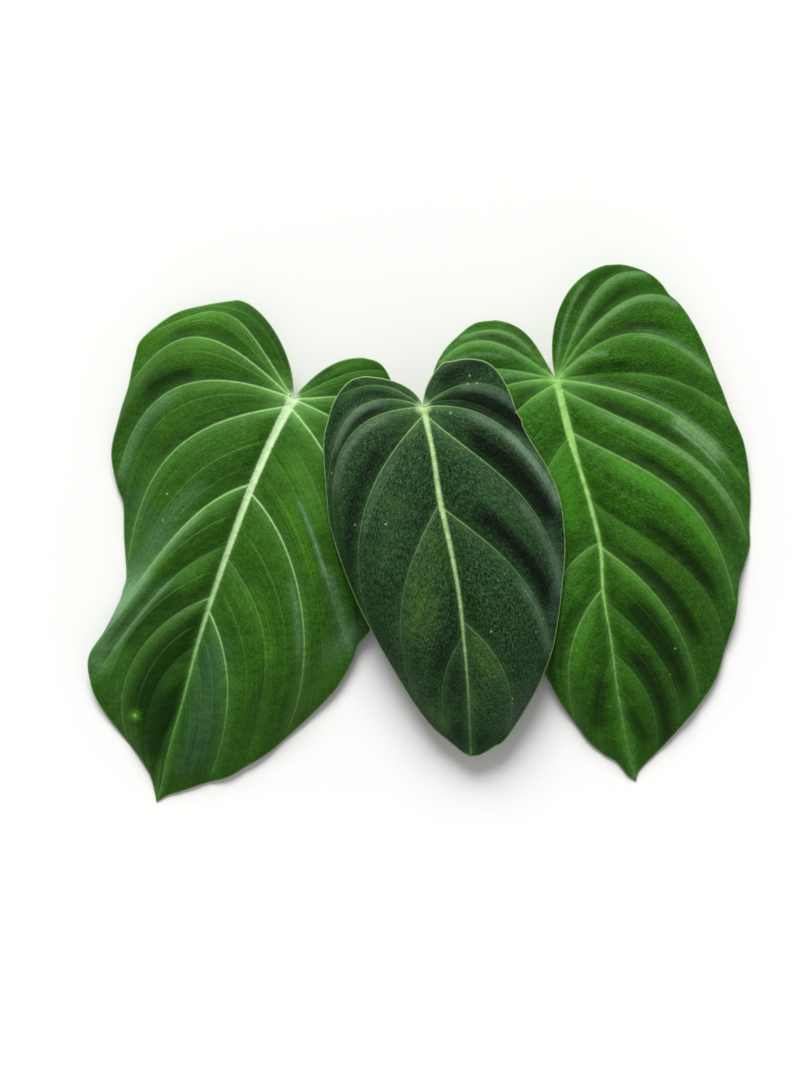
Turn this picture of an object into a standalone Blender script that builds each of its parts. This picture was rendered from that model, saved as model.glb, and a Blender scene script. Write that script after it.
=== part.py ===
"""Philodendron gloriosum, cut with three leaves on one short piece of rhizome and laid down.

The plant lies on a level surface at z = 0 with its blades facing up. The origin is under the
rhizome, in the middle of the flat that it rests on. +Y runs to the notches of the blades and
-Y to their tips. The driving sizes below are in millimetres and the model is in metres.

Each blade is two halves, west and east of its midrib. A half is lofted over its side veins: every
vein is a Bezier curve from the midrib to the margin, and the blade bulges between two veins.
"""

import math

import bmesh
import bpy
import numpy as np

MM = 0.001

# blades
BLADE_THICKNESS = 0.8
MIDRIB_DEPTH = 2.4          # how far the midrib stands out under the blade at the notch
VEIN_DEPTH = 0.5            # the same for a side vein
HUB_BOSS = (2.6, 7.0)       # depth and radius of the boss that the stalk grows into
BULGE = 0.13                # height of the bulge between two veins, as a share of their distance
BULGE_MAX = 4.2
BULGE_START = 7.0           # distance from the midrib over which a bulge rises
CROWN = 0.06                # arch of a half from midrib to margin, as a share of its width
DROOP_POWER = 1.5           # above 1 the blade stays level by the midrib and drops to its margin
VEIN_STEP = 0.34            # longest step between grid lines, in veins
ACROSS = (0, 0.035, 0.1, 0.2, 0.32, 0.45, 0.58, 0.7, 0.82, 0.92, 1)
STEEPEST = 0.55             # least upward part of a normal that the thickness allows for

# Each leaf: "hub" is where the stalk meets the blade, in plan. "midrib" rows are x and y from the
# hub and the height of the underside. "margin" rows are the number of the vein that ends there
# (a part of a number lies between two veins), x, y and height. "veins" rows are the share of the
# midrib at which the vein leaves it, its angle there, its angle at the margin, and how far the
# curve follows each angle, as a share of its chord. Angles are in degrees from +X towards +Y.
LEAF_LEFT = {
    "hub": (-98.5, 130.0),
    "midrib": [(0, 0, 25), (-14, -28, 27.5), (-26, -56.5, 28.5), (-36.5, -85, 27.5), (-48.5, -119.5, 24.5),
               (-57.5, -148, 20.5), (-65.5, -178, 14.5), (-74.5, -208, 7.5), (-83, -243.5, 0)],
    "west": {
        "margin": [(0, -33.5, 59.5, 14), (0.35, -53, 56.5, 12), (0.7, -72.5, 51, 9), (1, -89, 39, 6),
                   (1.5, -96, 25, 4), (2, -100, 7, 4), (2.4, -105.5, -11.5, 5), (2.75, -110, -34, 5),
                   (3, -107, -51.5, 3), (3.3, -103, -63, 2), (3.6, -102.5, -82, 1), (4, -101, -104.5, 2),
                   (4.5, -103, -115, 4), (5, -106.5, -125, 6), (5.3, -114, -140, 9), (5.6, -123, -154, 9),
                   (6, -122.5, -171.5, 6), (6.5, -115, -188, 2), (7, -99, -209, 0), (7.5, -92, -218.5, 0.5),
                   (8, -87.5, -226, 1), (9, -84, -237.5, 0.5), (10, -83, -243.5, 0)],
        "veins": [(0, 83, 172, 0.36, 0.24), (0, 114, 200, 0.38, 0.42), (0, 133, 235, 0.46, 0.50),
                  (0, 156, 250, 0.50, 0.48), (0.02, 190, 240, 0.48, 0.35), (0.22, 193, 222, 0.37, 0.26),
                  (0.37, 197, 230, 0.34, 0.30), (0.50, 197, 283, 0.36, 0.38), (0.62, 204, 280, 0.36, 0.32),
                  (0.79, 225, 268, 0.36, 0.32), (1, 256, 256, 0.3, 0.3)],
    },
    "east": {
        "margin": [(0, 42.5, 24.5, 18), (0.5, 51, 22, 16), (1, 56.5, 16, 15), (1.5, 60.5, 6, 14.5),
                   (2, 63, -8.5, 14), (3, 65.5, -55, 14), (3.5, 62.5, -91, 14), (4, 56, -117.5, 11),
                   (4.3, 47, -138, 7), (4.6, 39.5, -148, 6), (5, 35, -159.5, 6), (5.3, 26, -174.5, 4),
                   (5.6, 13, -188.5, 2), (6, -7, -207, 1), (6.5, -18.5, -216, 2), (7, -29.5, -222.5, 3),
                   (7.5, -40, -228.5, 2), (8, -51.5, -231.5, 1), (9, -66.5, -236.5, 1),
                   (10, -76, -239.5, 0.5), (11, -83, -243.5, 0)],
        "veins": [(0, 48, -2, 0.35, 0.38), (0, 24, -12, 0.37, 0.35), (0, -9, -25, 0.40, 0.50),
                  (0, -38, -60, 0.40, 0.40), (0.02, -46, -61, 0.38, 0.32), (0.13, -52, -70, 0.35, 0.33),
                  (0.24, -45, -119, 0.32, 0.33), (0.40, -53, -106, 0.42, 0.47), (0.53, -63, -112, 0.39, 0.33),
                  (0.63, -76, -106, 0.36, 0.33), (0.79, -82, -110, 0.36, 0.33), (1, -104, -104, 0.3, 0.3)],
    },
}
LEAF_MIDDLE = {
    "hub": (-20.5, 124.0),
    "midrib": [(0, 0, 58), (5.5, -25, 59), (10, -55, 57), (16, -82, 53), (21.5, -112, 47),
               (24.5, -139, 39), (27, -169, 30), (29, -209.5, 14)],
    "west": {
        "margin": [(0, -35.5, 18.5, 46), (0.5, -44, 15.5, 44), (1, -51.5, 6.5, 42), (1.5, -56.5, -7, 40),
                   (1.75, -59.5, -22, 39), (2, -57.5, -55, 36), (2.5, -54, -76, 34), (3, -48.5, -93.5, 31),
                   (3.5, -39.5, -116, 27), (4, -29.5, -136, 23), (4.5, -16, -160, 20), (5, -3.5, -180, 18),
                   (5.5, 6.5, -192.5, 16), (6, 15.5, -200, 15), (7, 24, -207, 14), (8, 29, -209.5, 14)],
        "veins": [(0, 108, 177, 0.36, 0.34), (0, 140, 207, 0.34, 0.50), (0, 168, 246, 0.50, 0.32),
                  (0, 195, 261, 0.36, 0.35), (0.05, 211, 275, 0.36, 0.36), (0.27, 239, 278, 0.36, 0.36),
                  (0.655, 232, 290, 0.36, 0.35), (0.85, 245, 295, 0.36, 0.33), (1, 273, 273, 0.3, 0.3)],
    },
    "east": {
        "margin": [(0, 11, 25.5, 48), (0.25, 18, 27, 48), (0.45, 27, 28.5, 48), (0.7, 36, 27.5, 47),
                   (1, 49, 17, 46), (1.5, 54.5, 3.5, 45), (1.7, 56.5, -4, 44), (1.85, 59.5, -7.5, 44),
                   (2, 60.5, -13, 43), (2.3, 66.5, -22.5, 43), (2.6, 75, -36.5, 42), (3, 82, -55, 40),
                   (3.5, 85, -82, 37), (4, 83.5, -105, 34), (4.5, 81, -127, 30), (5, 77, -147.5, 25),
                   (5.5, 67, -171.5, 20), (6, 51, -197.5, 17), (6.5, 43, -203.5, 16), (7, 36.5, -207.5, 15),
                   (8, 29, -209.5, 14)],
        "veins": [(0, 90, 38, 0.42, 0.32), (0, 38, -8, 0.38, 0.28), (0, 14, -34, 0.37, 0.38),
                  (0, -3, -57, 0.42, 0.35), (0.02, -46, -72, 0.36, 0.38), (0.285, -36, -80, 0.36, 0.40),
                  (0.61, -39, -105, 0.40, 0.38), (0.85, -52, -112, 0.36, 0.33), (1, -87, -87, 0.3, 0.3)],
    },
}
LEAF_RIGHT = {
    "hub": (59.5, 141.5),
    "midrib": [(0, 0, 25), (9, -36.5, 28), (20.5, -75.5, 29), (26.5, -101.5, 28), (28, -126.5, 26),
               (33, -156.5, 22), (37, -186.5, 16), (41.5, -210.5, 9), (49, -242.5, 0)],
    "west": {
        "margin": [(0, -36.5, 35.5, 20), (0.5, -49, 33.5, 18), (1, -60, 25, 17), (1.5, -67, 17.5, 16),
                   (2, -72, 8.5, 15), (3, -75, -11.5, 14), (4, -71, -40, 14), (5, -56, -80, 14),
                   (5.5, -39.5, -117.5, 13), (6, -21, -155, 10), (6.5, -9.5, -172, 8), (7, -3.5, -182, 6),
                   (7.5, 3, -194.5, 4), (8, 12.5, -208, 2), (8.5, 20.5, -218.5, 1), (9, 28, -225, 1),
                   (10, 38.5, -232, 1), (10.5, 44, -239, 0.5), (11, 49, -242.5, 0)],
        "veins": [(0, 136, 174, 0.36, 0.43), (0, 160, 205, 0.34, 0.50), (0, 169, 225, 0.36, 0.50),
                  (0, 174, 238, 0.36, 0.40), (0, 181, 247, 0.40, 0.36), (0.01, 204, 259, 0.32, 0.34),
                  (0.14, 230, 275, 0.35, 0.37), (0.41, 203, 277, 0.38, 0.37), (0.52, 228, 286, 0.40, 0.37),
                  (0.685, 243, 280, 0.36, 0.34), (0.82, 255, 285, 0.36, 0.33), (1, 283, 283, 0.3, 0.3)],
    },
    "east": {
        "margin": [(0, 30, 68.5, 24), (0.5, 42, 68.5, 21), (1, 56.5, 63.5, 18), (1.4, 64, 57, 16),
                   (1.7, 68.5, 51, 14), (2, 74.5, 46, 12), (2.5, 86.5, 27.5, 9), (3, 98, 0.5, 8),
                   (4, 106, -20, 7), (4.5, 114, -38.5, 5), (5, 118, -66.5, 2), (5.5, 117.5, -87.5, 0),
                   (6, 117.5, -101.5, 1), (6.3, 114.5, -111, 3), (6.6, 111.5, -120.5, 5), (7, 109.5, -140, 6),
                   (7.5, 105, -155.5, 4), (8, 102.5, -163, 3), (8.5, 97, -180.5, 3), (9, 87, -196, 4),
                   (9.5, 80.5, -204, 4), (10, 74.5, -211, 3), (11, 62, -224.5, 1), (12, 53, -233.5, 0.5),
                   (12.5, 50, -237.5, 0.3), (13, 49, -242.5, 0)],
        "veins": [(0, 106, 15, 0.36, 0.40), (0, 69, -16, 0.37, 0.42), (0, 62, -34, 0.33, 0.40),
                  (0, 45, -48, 0.42, 0.45), (0, 6, -39, 0.36, 0.42), (0, -8, -54, 0.36, 0.40),
                  (0.02, -30, -72, 0.36, 0.40), (0.13, -28, -82, 0.36, 0.40), (0.30, -40, -85, 0.36, 0.40),
                  (0.42, -31, -84, 0.36, 0.36), (0.55, -37, -99, 0.34, 0.32), (0.68, -34, -92, 0.34, 0.34),
                  (0.84, -50, -97, 0.36, 0.33), (1, -77, -77, 0.3, 0.3)],
    },
}

# rhizome: its axis runs from the cut end to the bud, as x, y and z
RHIZOME_AXIS = [(7, -52, 7.5), (2, -20, 7.5), (-2, 10, 7.5), (-4, 34, 8), (-4, 52, 11.5)]
RHIZOME_RADIUS = 9.5
RHIZOME_SIDES = 18
RING_SPACING = 11.0         # from one node of the rhizome to the next
RING_HEIGHT = 0.09          # as a share of the radius
BUD_START = 0.80            # share of the axis at which the bud begins to taper
COLLAR_REACH = 22.0         # from the rhizome's axis to the flat end of a collar
COLLAR_RADII = (7.0, 5.2)
SEAT_GAP = 0.35             # left between solids that grow into each other
ROOT_RADII = (1.7, 0.7)
# x and y where each root leaves the axis, its heading in degrees and its length
ROOTS = [(6, -46, 150, 30), (5, -40, -20, 26), (3, -27, 200, 24), (2, -17, -8, 32),
         (-1, 2, 188, 20), (-3, 22, 12, 22), (-4, 32, 165, 18)]
ROOT_HEIGHT = 3.4

# stalks: place of the collar along the axis, heading and rise of the collar in degrees, then the
# points between the collar and the blade, and the radii at the rhizome and at the blade
PETIOLES = {
    "petiole_left": {"share": 0.50, "heading": 148, "rise": -3, "radii": (4.8, 3.7), "leaf": LEAF_LEFT,
                     "points": [(-32, 36, 5.6), (-62, 72, 5.4), (-88, 104, 6.6), (-98, 119, 13)]},
    "petiole_right": {"share": 0.38, "heading": 44, "rise": -3, "radii": (4.8, 3.7), "leaf": LEAF_RIGHT,
                      "points": [(28, 42, 5.6), (48, 88, 5.4), (59, 120, 6.8), (61.5, 131, 13.5)]},
    "petiole_middle": {"share": 0.66, "heading": 98, "rise": 48, "radii": (4.8, 3.4), "leaf": LEAF_MIDDLE,
                       "points": [(-8, 62, 34), (-14, 92, 41), (-18.5, 112, 46)]},
}
PETIOLE_SIDES = 12
PETIOLE_RINGS = 15
HUB_INSET = 4.6             # from the notch along the midrib to the middle of the stalk
STALK_TOP = 3.95            # from the height of the notch down to the end of the stalk

COLOURS = {
    "leaf_left": (0.035, 0.115, 0.022),
    "leaf_middle": (0.012, 0.042, 0.018),
    "leaf_right": (0.030, 0.135, 0.014),
    "petiole": (0.150, 0.300, 0.075),
    "rhizome": (0.160, 0.170, 0.060),
}


def clear_scene():
    """Remove the objects of the scene that the script runs in."""
    for old in list(bpy.data.objects):
        bpy.data.objects.remove(old, do_unlink=True)


def material(name, colour, roughness):
    """A Principled material of one colour."""
    mat = bpy.data.materials.new(name)
    mat.use_nodes = True
    shader = mat.node_tree.nodes["Principled BSDF"]
    shader.inputs["Base Color"].default_value = (*colour, 1)
    shader.inputs["Roughness"].default_value = roughness
    shader.inputs["Metallic"].default_value = 0
    return mat


def solid(name, points, faces, mat):
    """One object from points in millimetres and faces."""
    mesh = bpy.data.meshes.new(name)
    mesh.from_pydata((np.asarray(points) * MM).tolist(), [], [list(map(int, f)) for f in faces])
    mesh.materials.append(mat)
    mesh.shade_smooth()
    obj = bpy.data.objects.new(name, mesh)
    bpy.context.scene.collection.objects.link(obj)
    return obj


def smooth_curve(knots, values, at):
    """A cubic through values at uneven knots; each slope is the weighted mean of its two chords."""
    k = np.asarray(knots, float)
    p = np.asarray(values, float).reshape(len(k), -1)
    step = np.diff(k)[:, None]
    chord = np.diff(p, axis=0) / step
    slope = np.vstack([chord[:1], (chord[:-1] * step[1:] + chord[1:] * step[:-1]) / (step[1:] + step[:-1]),
                       chord[-1:]])
    at = np.clip(np.asarray(at, float), k[0], k[-1])
    i = np.clip(np.searchsorted(k, at, side="right") - 1, 0, len(k) - 2)
    h = step[i]
    t = (at[:, None] - k[i][:, None]) / h
    return ((2 * t**3 - 3 * t**2 + 1) * p[i] + (t**3 - 2 * t**2 + t) * h * slope[i]
            + (3 * t**2 - 2 * t**3) * p[i + 1] + (t**3 - t**2) * h * slope[i + 1])


def length_knots(points):
    """Share of the whole length at each point of a polyline."""
    steps = np.linalg.norm(np.diff(np.asarray(points, float), axis=0), axis=1)
    run = np.concatenate([[0], np.cumsum(steps)])
    return run / run[-1]


def midrib_at(leaf, share):
    """x, y and underside height of the midrib at shares of its length."""
    rows = np.array(leaf["midrib"], float)
    return smooth_curve(length_knots(rows[:, :2]), rows, share)


def vein_curves(leaf, side, v, u):
    """Plan of a half: Bezier curves over u, with root, angles and pulls blended between veins."""
    veins = np.array(leaf[side]["veins"], float)
    margin = np.array(leaf[side]["margin"], float)
    number = np.arange(len(veins))
    share, leave, meet, pull_in, pull_out = (np.interp(v, number, veins[:, c]) for c in range(5))
    root = midrib_at(leaf, share)
    end = smooth_curve(margin[:, 0], margin[:, 1:], v)
    chord = np.linalg.norm(end[:, :2] - root[:, :2], axis=1)
    leave, meet = np.radians(leave), np.radians(meet)
    first = root[:, :2] + (chord * pull_in)[:, None] * np.stack([np.cos(leave), np.sin(leave)], axis=1)
    second = end[:, :2] - (chord * pull_out)[:, None] * np.stack([np.cos(meet), np.sin(meet)], axis=1)
    t = np.asarray(u, float)[None, :, None]
    plan = ((1 - t)**3 * root[:, None, :2] + 3 * t * (1 - t)**2 * first[:, None]
            + 3 * t**2 * (1 - t) * second[:, None] + t**3 * end[:, None, :2])
    return plan, root[:, 2], end[:, 2], chord, share


def half_surface(leaf, side, v, u):
    """Underside heights and thickness of a half on the grid of vein lines v and shares u.

    The height runs from the midrib to the margin with a droop and a crown. Between two veins a bulge
    of a rounded sine is added, whose height follows the distance between them.
    """
    plan, root_z, end_z, chord, share = vein_curves(leaf, side, v, u)
    last = len(leaf[side]["veins"]) - 1
    low = np.clip(np.floor(v + 1e-9), 0, last - 1)
    near = vein_curves(leaf, side, low, u)[0]
    far = vein_curves(leaf, side, low + 1, u)[0]
    gap = np.linalg.norm(far - near, axis=2)
    part = np.clip(v - low, 0, 1)[:, None]
    t = np.asarray(u, float)[None, :]
    height = root_z[:, None] + (end_z - root_z)[:, None] * t**DROOP_POWER
    height = height + CROWN * chord[:, None] * np.sin(np.pi * t)
    rise = 1 - np.exp(-(t * chord[:, None] / BULGE_START)**2)
    puff = np.minimum(BULGE * gap, BULGE_MAX) * np.sin(np.pi * part)**0.8
    height = height + puff * rise * (1 - 0.7 * t**3)
    rib = MIDRIB_DEPTH * (1 - share[:, None])**1.3 * np.clip(1 - t / 0.1, 0, 1)
    on_vein = np.clip(1 - np.abs(v - np.round(v)) / VEIN_STEP, 0, 1)[:, None]
    rib = rib + VEIN_DEPTH * on_vein * (1 - t) * (1 - share[:, None])
    reach = np.linalg.norm(plan, axis=2)
    boss = HUB_BOSS[0] * np.exp(-(reach / HUB_BOSS[1])**2)
    return np.dstack([plan, height]), BLADE_THICKNESS + np.maximum(rib, boss)


def grid_lines(leaf, step):
    """Vein lines of both halves that meet each other on the midrib.

    The lines that start in the hub come first. The others start at shares of the midrib that both
    halves use: every vein's root on either side, and enough between them to keep to the step.
    """
    roots = {side: np.array(leaf[side]["veins"], float)[:, 0] for side in ("west", "east")}
    fan = {side: int(np.sum(roots[side] == 0)) - 1 for side in roots}
    marks = sorted(set(np.concatenate([[0.0], roots["west"], roots["east"]]).tolist()))

    def line_of(side, share):
        return np.interp(share, roots[side][fan[side]:], np.arange(fan[side], len(roots[side])))

    shares = [0.0]
    for a, b in zip(marks, marks[1:]):
        widest = max(float(line_of(side, b) - line_of(side, a)) for side in roots)
        parts = max(1, math.ceil(widest / step))
        shares += [a + (b - a) * (k + 1) / parts for k in range(parts)]
    shares = np.array(shares)
    lines = {}
    for side in roots:
        hub_lines = np.linspace(0, fan[side], math.ceil(fan[side] / step) + 1)
        lines[side] = (np.concatenate([hub_lines, line_of(side, shares[1:])]), len(hub_lines) - 1)
    return shares, lines


def blade_mesh(leaf):
    """Closed blade: the same triangles above and below, and a rim. Points are in millimetres."""
    shares, lines = grid_lines(leaf, VEIN_STEP)
    u = np.array(ACROSS, float)
    points, depth, faces = [], [], []
    spine = len(shares)
    for side in ("west", "east"):
        v, fan = lines[side]
        surface, thick = half_surface(leaf, side, v, u)
        count = len(v)
        start = spine + sum(len(p) for p in points[1:])
        ids = start + np.arange((count - 1) * (len(u) - 1)).reshape(count - 1, len(u) - 1)
        full = np.empty((count, len(u)), int)
        full[:-1, 1:] = ids
        full[:fan + 1, 0] = 0
        full[fan:, 0] = np.arange(spine)
        full[-1, :] = spine - 1
        if side == "west":
            points.append(surface[fan:, 0])
            depth.append(thick[fan:, 0])
        points.append(surface[:-1, 1:].reshape(-1, 3))
        depth.append(thick[:-1, 1:].ravel())
        a, b = full[:-1, :-1], full[:-1, 1:]
        c, d = full[1:, 1:], full[1:, :-1]
        half = np.concatenate([np.stack(three, -1).reshape(-1, 3) for three in ((a, b, c), (a, c, d))])
        faces.append(half if side == "west" else half[:, ::-1])
    points, depth, faces = np.concatenate(points), np.concatenate(depth), np.concatenate(faces)
    whole = (faces[:, 0] != faces[:, 1]) & (faces[:, 1] != faces[:, 2]) & (faces[:, 0] != faces[:, 2])
    faces = faces[whole]
    corner = points[faces]
    across = np.cross(corner[:, 1] - corner[:, 0], corner[:, 2] - corner[:, 0])
    normal = np.zeros_like(points)
    for k in range(3):
        np.add.at(normal, faces[:, k], across)
    upward = normal[:, 2] / np.linalg.norm(normal, axis=1)
    slant = 1 / np.clip(upward, STEEPEST, 1)
    hub = np.array([*leaf["hub"], 0])
    above = points + hub
    above[:, 2] += BLADE_THICKNESS * slant
    below = above.copy()
    below[:, 2] -= depth * slant
    edges = np.concatenate([faces[:, [0, 1]], faces[:, [1, 2]], faces[:, [2, 0]]])
    known = set(map(tuple, edges.tolist()))
    rim = np.array([e for e in edges.tolist() if (e[1], e[0]) not in known])
    n = len(points)
    wall = np.concatenate([np.stack([rim[:, 1], rim[:, 0], rim[:, 0] + n], 1),
                           np.stack([rim[:, 1], rim[:, 0] + n, rim[:, 1] + n], 1)])
    return np.concatenate([above, below]), np.concatenate([faces, faces[:, ::-1] + n, wall])


def build_leaf(name, leaf, mat):
    """A blade, turned right side out."""
    points, faces = blade_mesh(leaf)
    obj = solid(name, points, faces, mat)
    turn_out(obj)
    return obj


def turn_out(obj):
    """Point all faces of a closed mesh outwards."""
    mesh = bmesh.new()
    mesh.from_mesh(obj.data)
    bmesh.ops.recalc_face_normals(mesh, faces=mesh.faces)
    mesh.to_mesh(obj.data)
    mesh.free()


def tube(path, section):
    """Closed tube: section(k, share) gives ring k's points as sideways and upward offsets."""
    path = np.asarray(path, float)
    share = length_knots(path)
    tangent = np.gradient(path, axis=0)
    tangent /= np.linalg.norm(tangent, axis=1)[:, None]
    aside = np.cross(tangent[0], (0, 0, 1))
    if np.linalg.norm(aside) < 0.2:
        aside = np.cross(tangent[0], (0, 1, 0))
    rings = []
    for k, (p, t) in enumerate(zip(path, tangent)):
        aside = aside - t * aside.dot(t)
        aside /= np.linalg.norm(aside)
        upward = np.cross(aside, t)
        offsets = section(k, share[k])
        rings.append(p + offsets[:, :1] * aside + offsets[:, 1:] * upward)
    sides = len(rings[0])
    faces = []
    for k in range(len(rings) - 1):
        for j in range(sides):
            a, b = k * sides + j, k * sides + (j + 1) % sides
            faces.append((a, b, b + sides, a + sides))
    faces.append(tuple(reversed(range(sides))))
    faces.append(tuple(range(len(rings) * sides - sides, len(rings) * sides)))
    return np.concatenate(rings), faces


def round_section(sides, radii):
    """Circle whose radius runs from the first radius to the second."""
    angle = np.linspace(0, 2 * math.pi, sides, endpoint=False)

    def section(_, share):
        radius = radii[0] + (radii[1] - radii[0]) * share
        return np.stack([radius * np.cos(angle), radius * np.sin(angle)], axis=1)
    return section


def stalk_section(sides, radii):
    """The same, but flattened above, with a low ridge along each side of the flat."""
    angle = np.linspace(0, 2 * math.pi, sides, endpoint=False)
    flat = 1 - 0.22 * np.clip(np.sin(angle), 0, 1)**2
    ridge = 1 + 0.10 * np.exp(-((np.abs(angle - math.pi / 2) - 0.9) / 0.3)**2)

    def section(_, share):
        radius = radii[0] + (radii[1] - radii[0]) * share
        return np.stack([radius * ridge * np.cos(angle), radius * flat * ridge * np.sin(angle)], axis=1)
    return section


def rhizome_point(share):
    """Point at a share of the rhizome's axis."""
    return smooth_curve(length_knots(RHIZOME_AXIS), RHIZOME_AXIS, np.array([share]))[0]


def collar_frame(stalk):
    """Start and direction of a stalk's collar on the rhizome's axis."""
    heading, rise = math.radians(stalk["heading"]), math.radians(stalk["rise"])
    way = np.array([math.cos(rise) * math.cos(heading), math.cos(rise) * math.sin(heading), math.sin(rise)])
    return rhizome_point(stalk["share"]), way


def build_rhizome(mat):
    """Ringed creeping stem with a flat underside, its collars and its roots joined to it."""
    length = np.linalg.norm(np.diff(RHIZOME_AXIS, axis=0), axis=1).sum()
    share = np.linspace(0, 1, 44)
    path = smooth_curve(length_knots(RHIZOME_AXIS), RHIZOME_AXIS, share)
    angle = np.linspace(0, 2 * math.pi, RHIZOME_SIDES, endpoint=False)

    def section(_, s):
        run = s * length / RING_SPACING
        ring = RING_HEIGHT * math.exp(-((run - round(run)) * 4.5)**2)
        taper = 1.0
        if s > BUD_START:
            taper = math.sqrt(max(0.03, 1 - ((s - BUD_START) / (1 - BUD_START))**2))
        radius = RHIZOME_RADIUS * (0.97 + ring) * taper
        return np.stack([radius * np.cos(angle), radius * np.sin(angle)], axis=1)

    points, faces = tube(path, section)
    points[:, 2] = np.maximum(points[:, 2], 0)
    body = solid("rhizome", points, faces, mat)
    turn_out(body)

    extras = bpy.data.collections.new("rhizome_extras")
    bpy.context.scene.collection.children.link(extras)
    pieces = []
    for stalk in PETIOLES.values():
        start, way = collar_frame(stalk)
        path = start + np.linspace(0.2, 1, 4)[:, None] * COLLAR_REACH * way
        pieces.append(tube(path, round_section(PETIOLE_SIDES, COLLAR_RADII)))
    for x, y, heading, reach in ROOTS:
        turn = math.radians(heading)
        run = np.linspace(0, 1, 8)
        bend = np.sin(run * 5 + x) * 0.10 * reach * run
        px = x + run * reach * math.cos(turn) - bend * math.sin(turn)
        py = y + run * reach * math.sin(turn) + bend * math.cos(turn)
        pz = ROOT_HEIGHT + (ROOT_RADII[1] + 0.15 - ROOT_HEIGHT) * np.clip(run * 1.6, 0, 1)**1.5
        pieces.append(tube(np.stack([px, py, pz], 1), round_section(7, ROOT_RADII)))
    for k, (points, faces) in enumerate(pieces):
        points[:, 2] = np.maximum(points[:, 2], 0)
        piece = solid(f"rhizome_extra_{k}", points, faces, mat)
        turn_out(piece)
        bpy.context.scene.collection.objects.unlink(piece)
        extras.objects.link(piece)

    union = body.modifiers.new("join", "BOOLEAN")
    union.operation = "UNION"
    union.operand_type = "COLLECTION"
    union.collection = extras
    union.solver = "EXACT"
    depsgraph = bpy.context.evaluated_depsgraph_get()
    joined = bpy.data.meshes.new_from_object(body.evaluated_get(depsgraph))
    body.modifiers.clear()
    body.data = joined
    for piece in list(extras.objects):
        bpy.data.objects.remove(piece, do_unlink=True)
    bpy.data.collections.remove(extras)
    return body


def build_petiole(name, stalk, mat):
    """Stalk from the flat end of its collar to the underside of its blade's hub."""
    start, way = collar_frame(stalk)
    leaf = stalk["leaf"]
    first_step = np.array(leaf["midrib"][1][:2], float)
    hub = np.array(leaf["hub"]) + HUB_INSET * first_step / np.linalg.norm(first_step)
    top = np.array([*hub, leaf["midrib"][0][2] - STALK_TOP + BLADE_THICKNESS])
    base = start + way * (COLLAR_REACH + SEAT_GAP)
    points = [base, base + 6 * way, *stalk["points"], top - (0, 0, 5), top]
    path = smooth_curve(length_knots(points), points, np.linspace(0, 1, PETIOLE_RINGS * 2))
    points, faces = tube(path, stalk_section(PETIOLE_SIDES, stalk["radii"]))
    obj = solid(name, points, faces, mat)
    turn_out(obj)
    return obj


def main():
    clear_scene()
    build_leaf("leaf_left", LEAF_LEFT, material("leaf_left", COLOURS["leaf_left"], 0.5))
    build_leaf("leaf_middle", LEAF_MIDDLE, material("leaf_middle", COLOURS["leaf_middle"], 0.55))
    build_leaf("leaf_right", LEAF_RIGHT, material("leaf_right", COLOURS["leaf_right"], 0.45))
    stalk_green = material("petiole", COLOURS["petiole"], 0.45)
    for name, stalk in PETIOLES.items():
        build_petiole(name, stalk, stalk_green)
    build_rhizome(material("rhizome", COLOURS["rhizome"], 0.6))


main()
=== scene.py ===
"""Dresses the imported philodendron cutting: velvet blades, ridged stalks, the ringed rhizome, a stage.

The tables of the blades, stalks and rhizome follow the solids' own. They are in millimetres, in the
plan of the solids, and every mesh is written in metres. A blade is drawn again on a finer grid with
the same midrib, margin and heights, so that it keeps the solid's form. Only the east lobe of the
middle leaf has an edge of its own, with a notch, at most 2.1 mm off the solid's. The veins' angles are
set finer, and a blade gets grooves, ribs, a thin edge and the distances to its veins, which its
material reads.
"""

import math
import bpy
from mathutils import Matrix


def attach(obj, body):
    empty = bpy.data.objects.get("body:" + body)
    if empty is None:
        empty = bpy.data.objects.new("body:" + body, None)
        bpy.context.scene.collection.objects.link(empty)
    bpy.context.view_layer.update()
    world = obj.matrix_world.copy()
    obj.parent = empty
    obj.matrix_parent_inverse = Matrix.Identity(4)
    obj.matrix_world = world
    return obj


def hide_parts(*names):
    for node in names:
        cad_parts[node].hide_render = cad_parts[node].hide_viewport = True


bl_info = {
    "name": "Philodendron gloriosum",
    "version": (1, 0, 0),
    "blender": (4, 5, 0),
    "location": "3D View > Sidebar > Gloriosum",
    "description": "Makes the blades, stalks, rhizome and stage of a philodendron cutting",
    "category": "Add Mesh",
}

import bpy
import numpy as np
from mathutils import Vector

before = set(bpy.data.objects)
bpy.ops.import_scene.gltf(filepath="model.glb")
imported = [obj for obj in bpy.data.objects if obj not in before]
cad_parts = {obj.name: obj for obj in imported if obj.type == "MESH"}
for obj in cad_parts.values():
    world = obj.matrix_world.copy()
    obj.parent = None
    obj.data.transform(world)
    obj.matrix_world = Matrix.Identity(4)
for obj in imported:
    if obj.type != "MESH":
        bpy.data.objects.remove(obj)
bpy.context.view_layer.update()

MM = 0.001

# shape of the blades, as in the solids
BLADE_THICKNESS = 0.8
MIDRIB_DEPTH = 2.4
VEIN_DEPTH = 0.9
HUB_BOSS = (2.6, 7.0)
BULGE = 0.13
BULGE_MAX = 4.2
BULGE_START = 7.0
BULGE_FADE = 0.7               # how much lower a bulge is at the margin
CROWN = 0.06
DROOP_POWER = 1.5
STEEPEST = 0.55

# how the bulges calm down towards the tip: where that starts, over what share, and by how much
CALM_START = 0.55
CALM_RUN = 0.25
CALMED = 0.7

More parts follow.
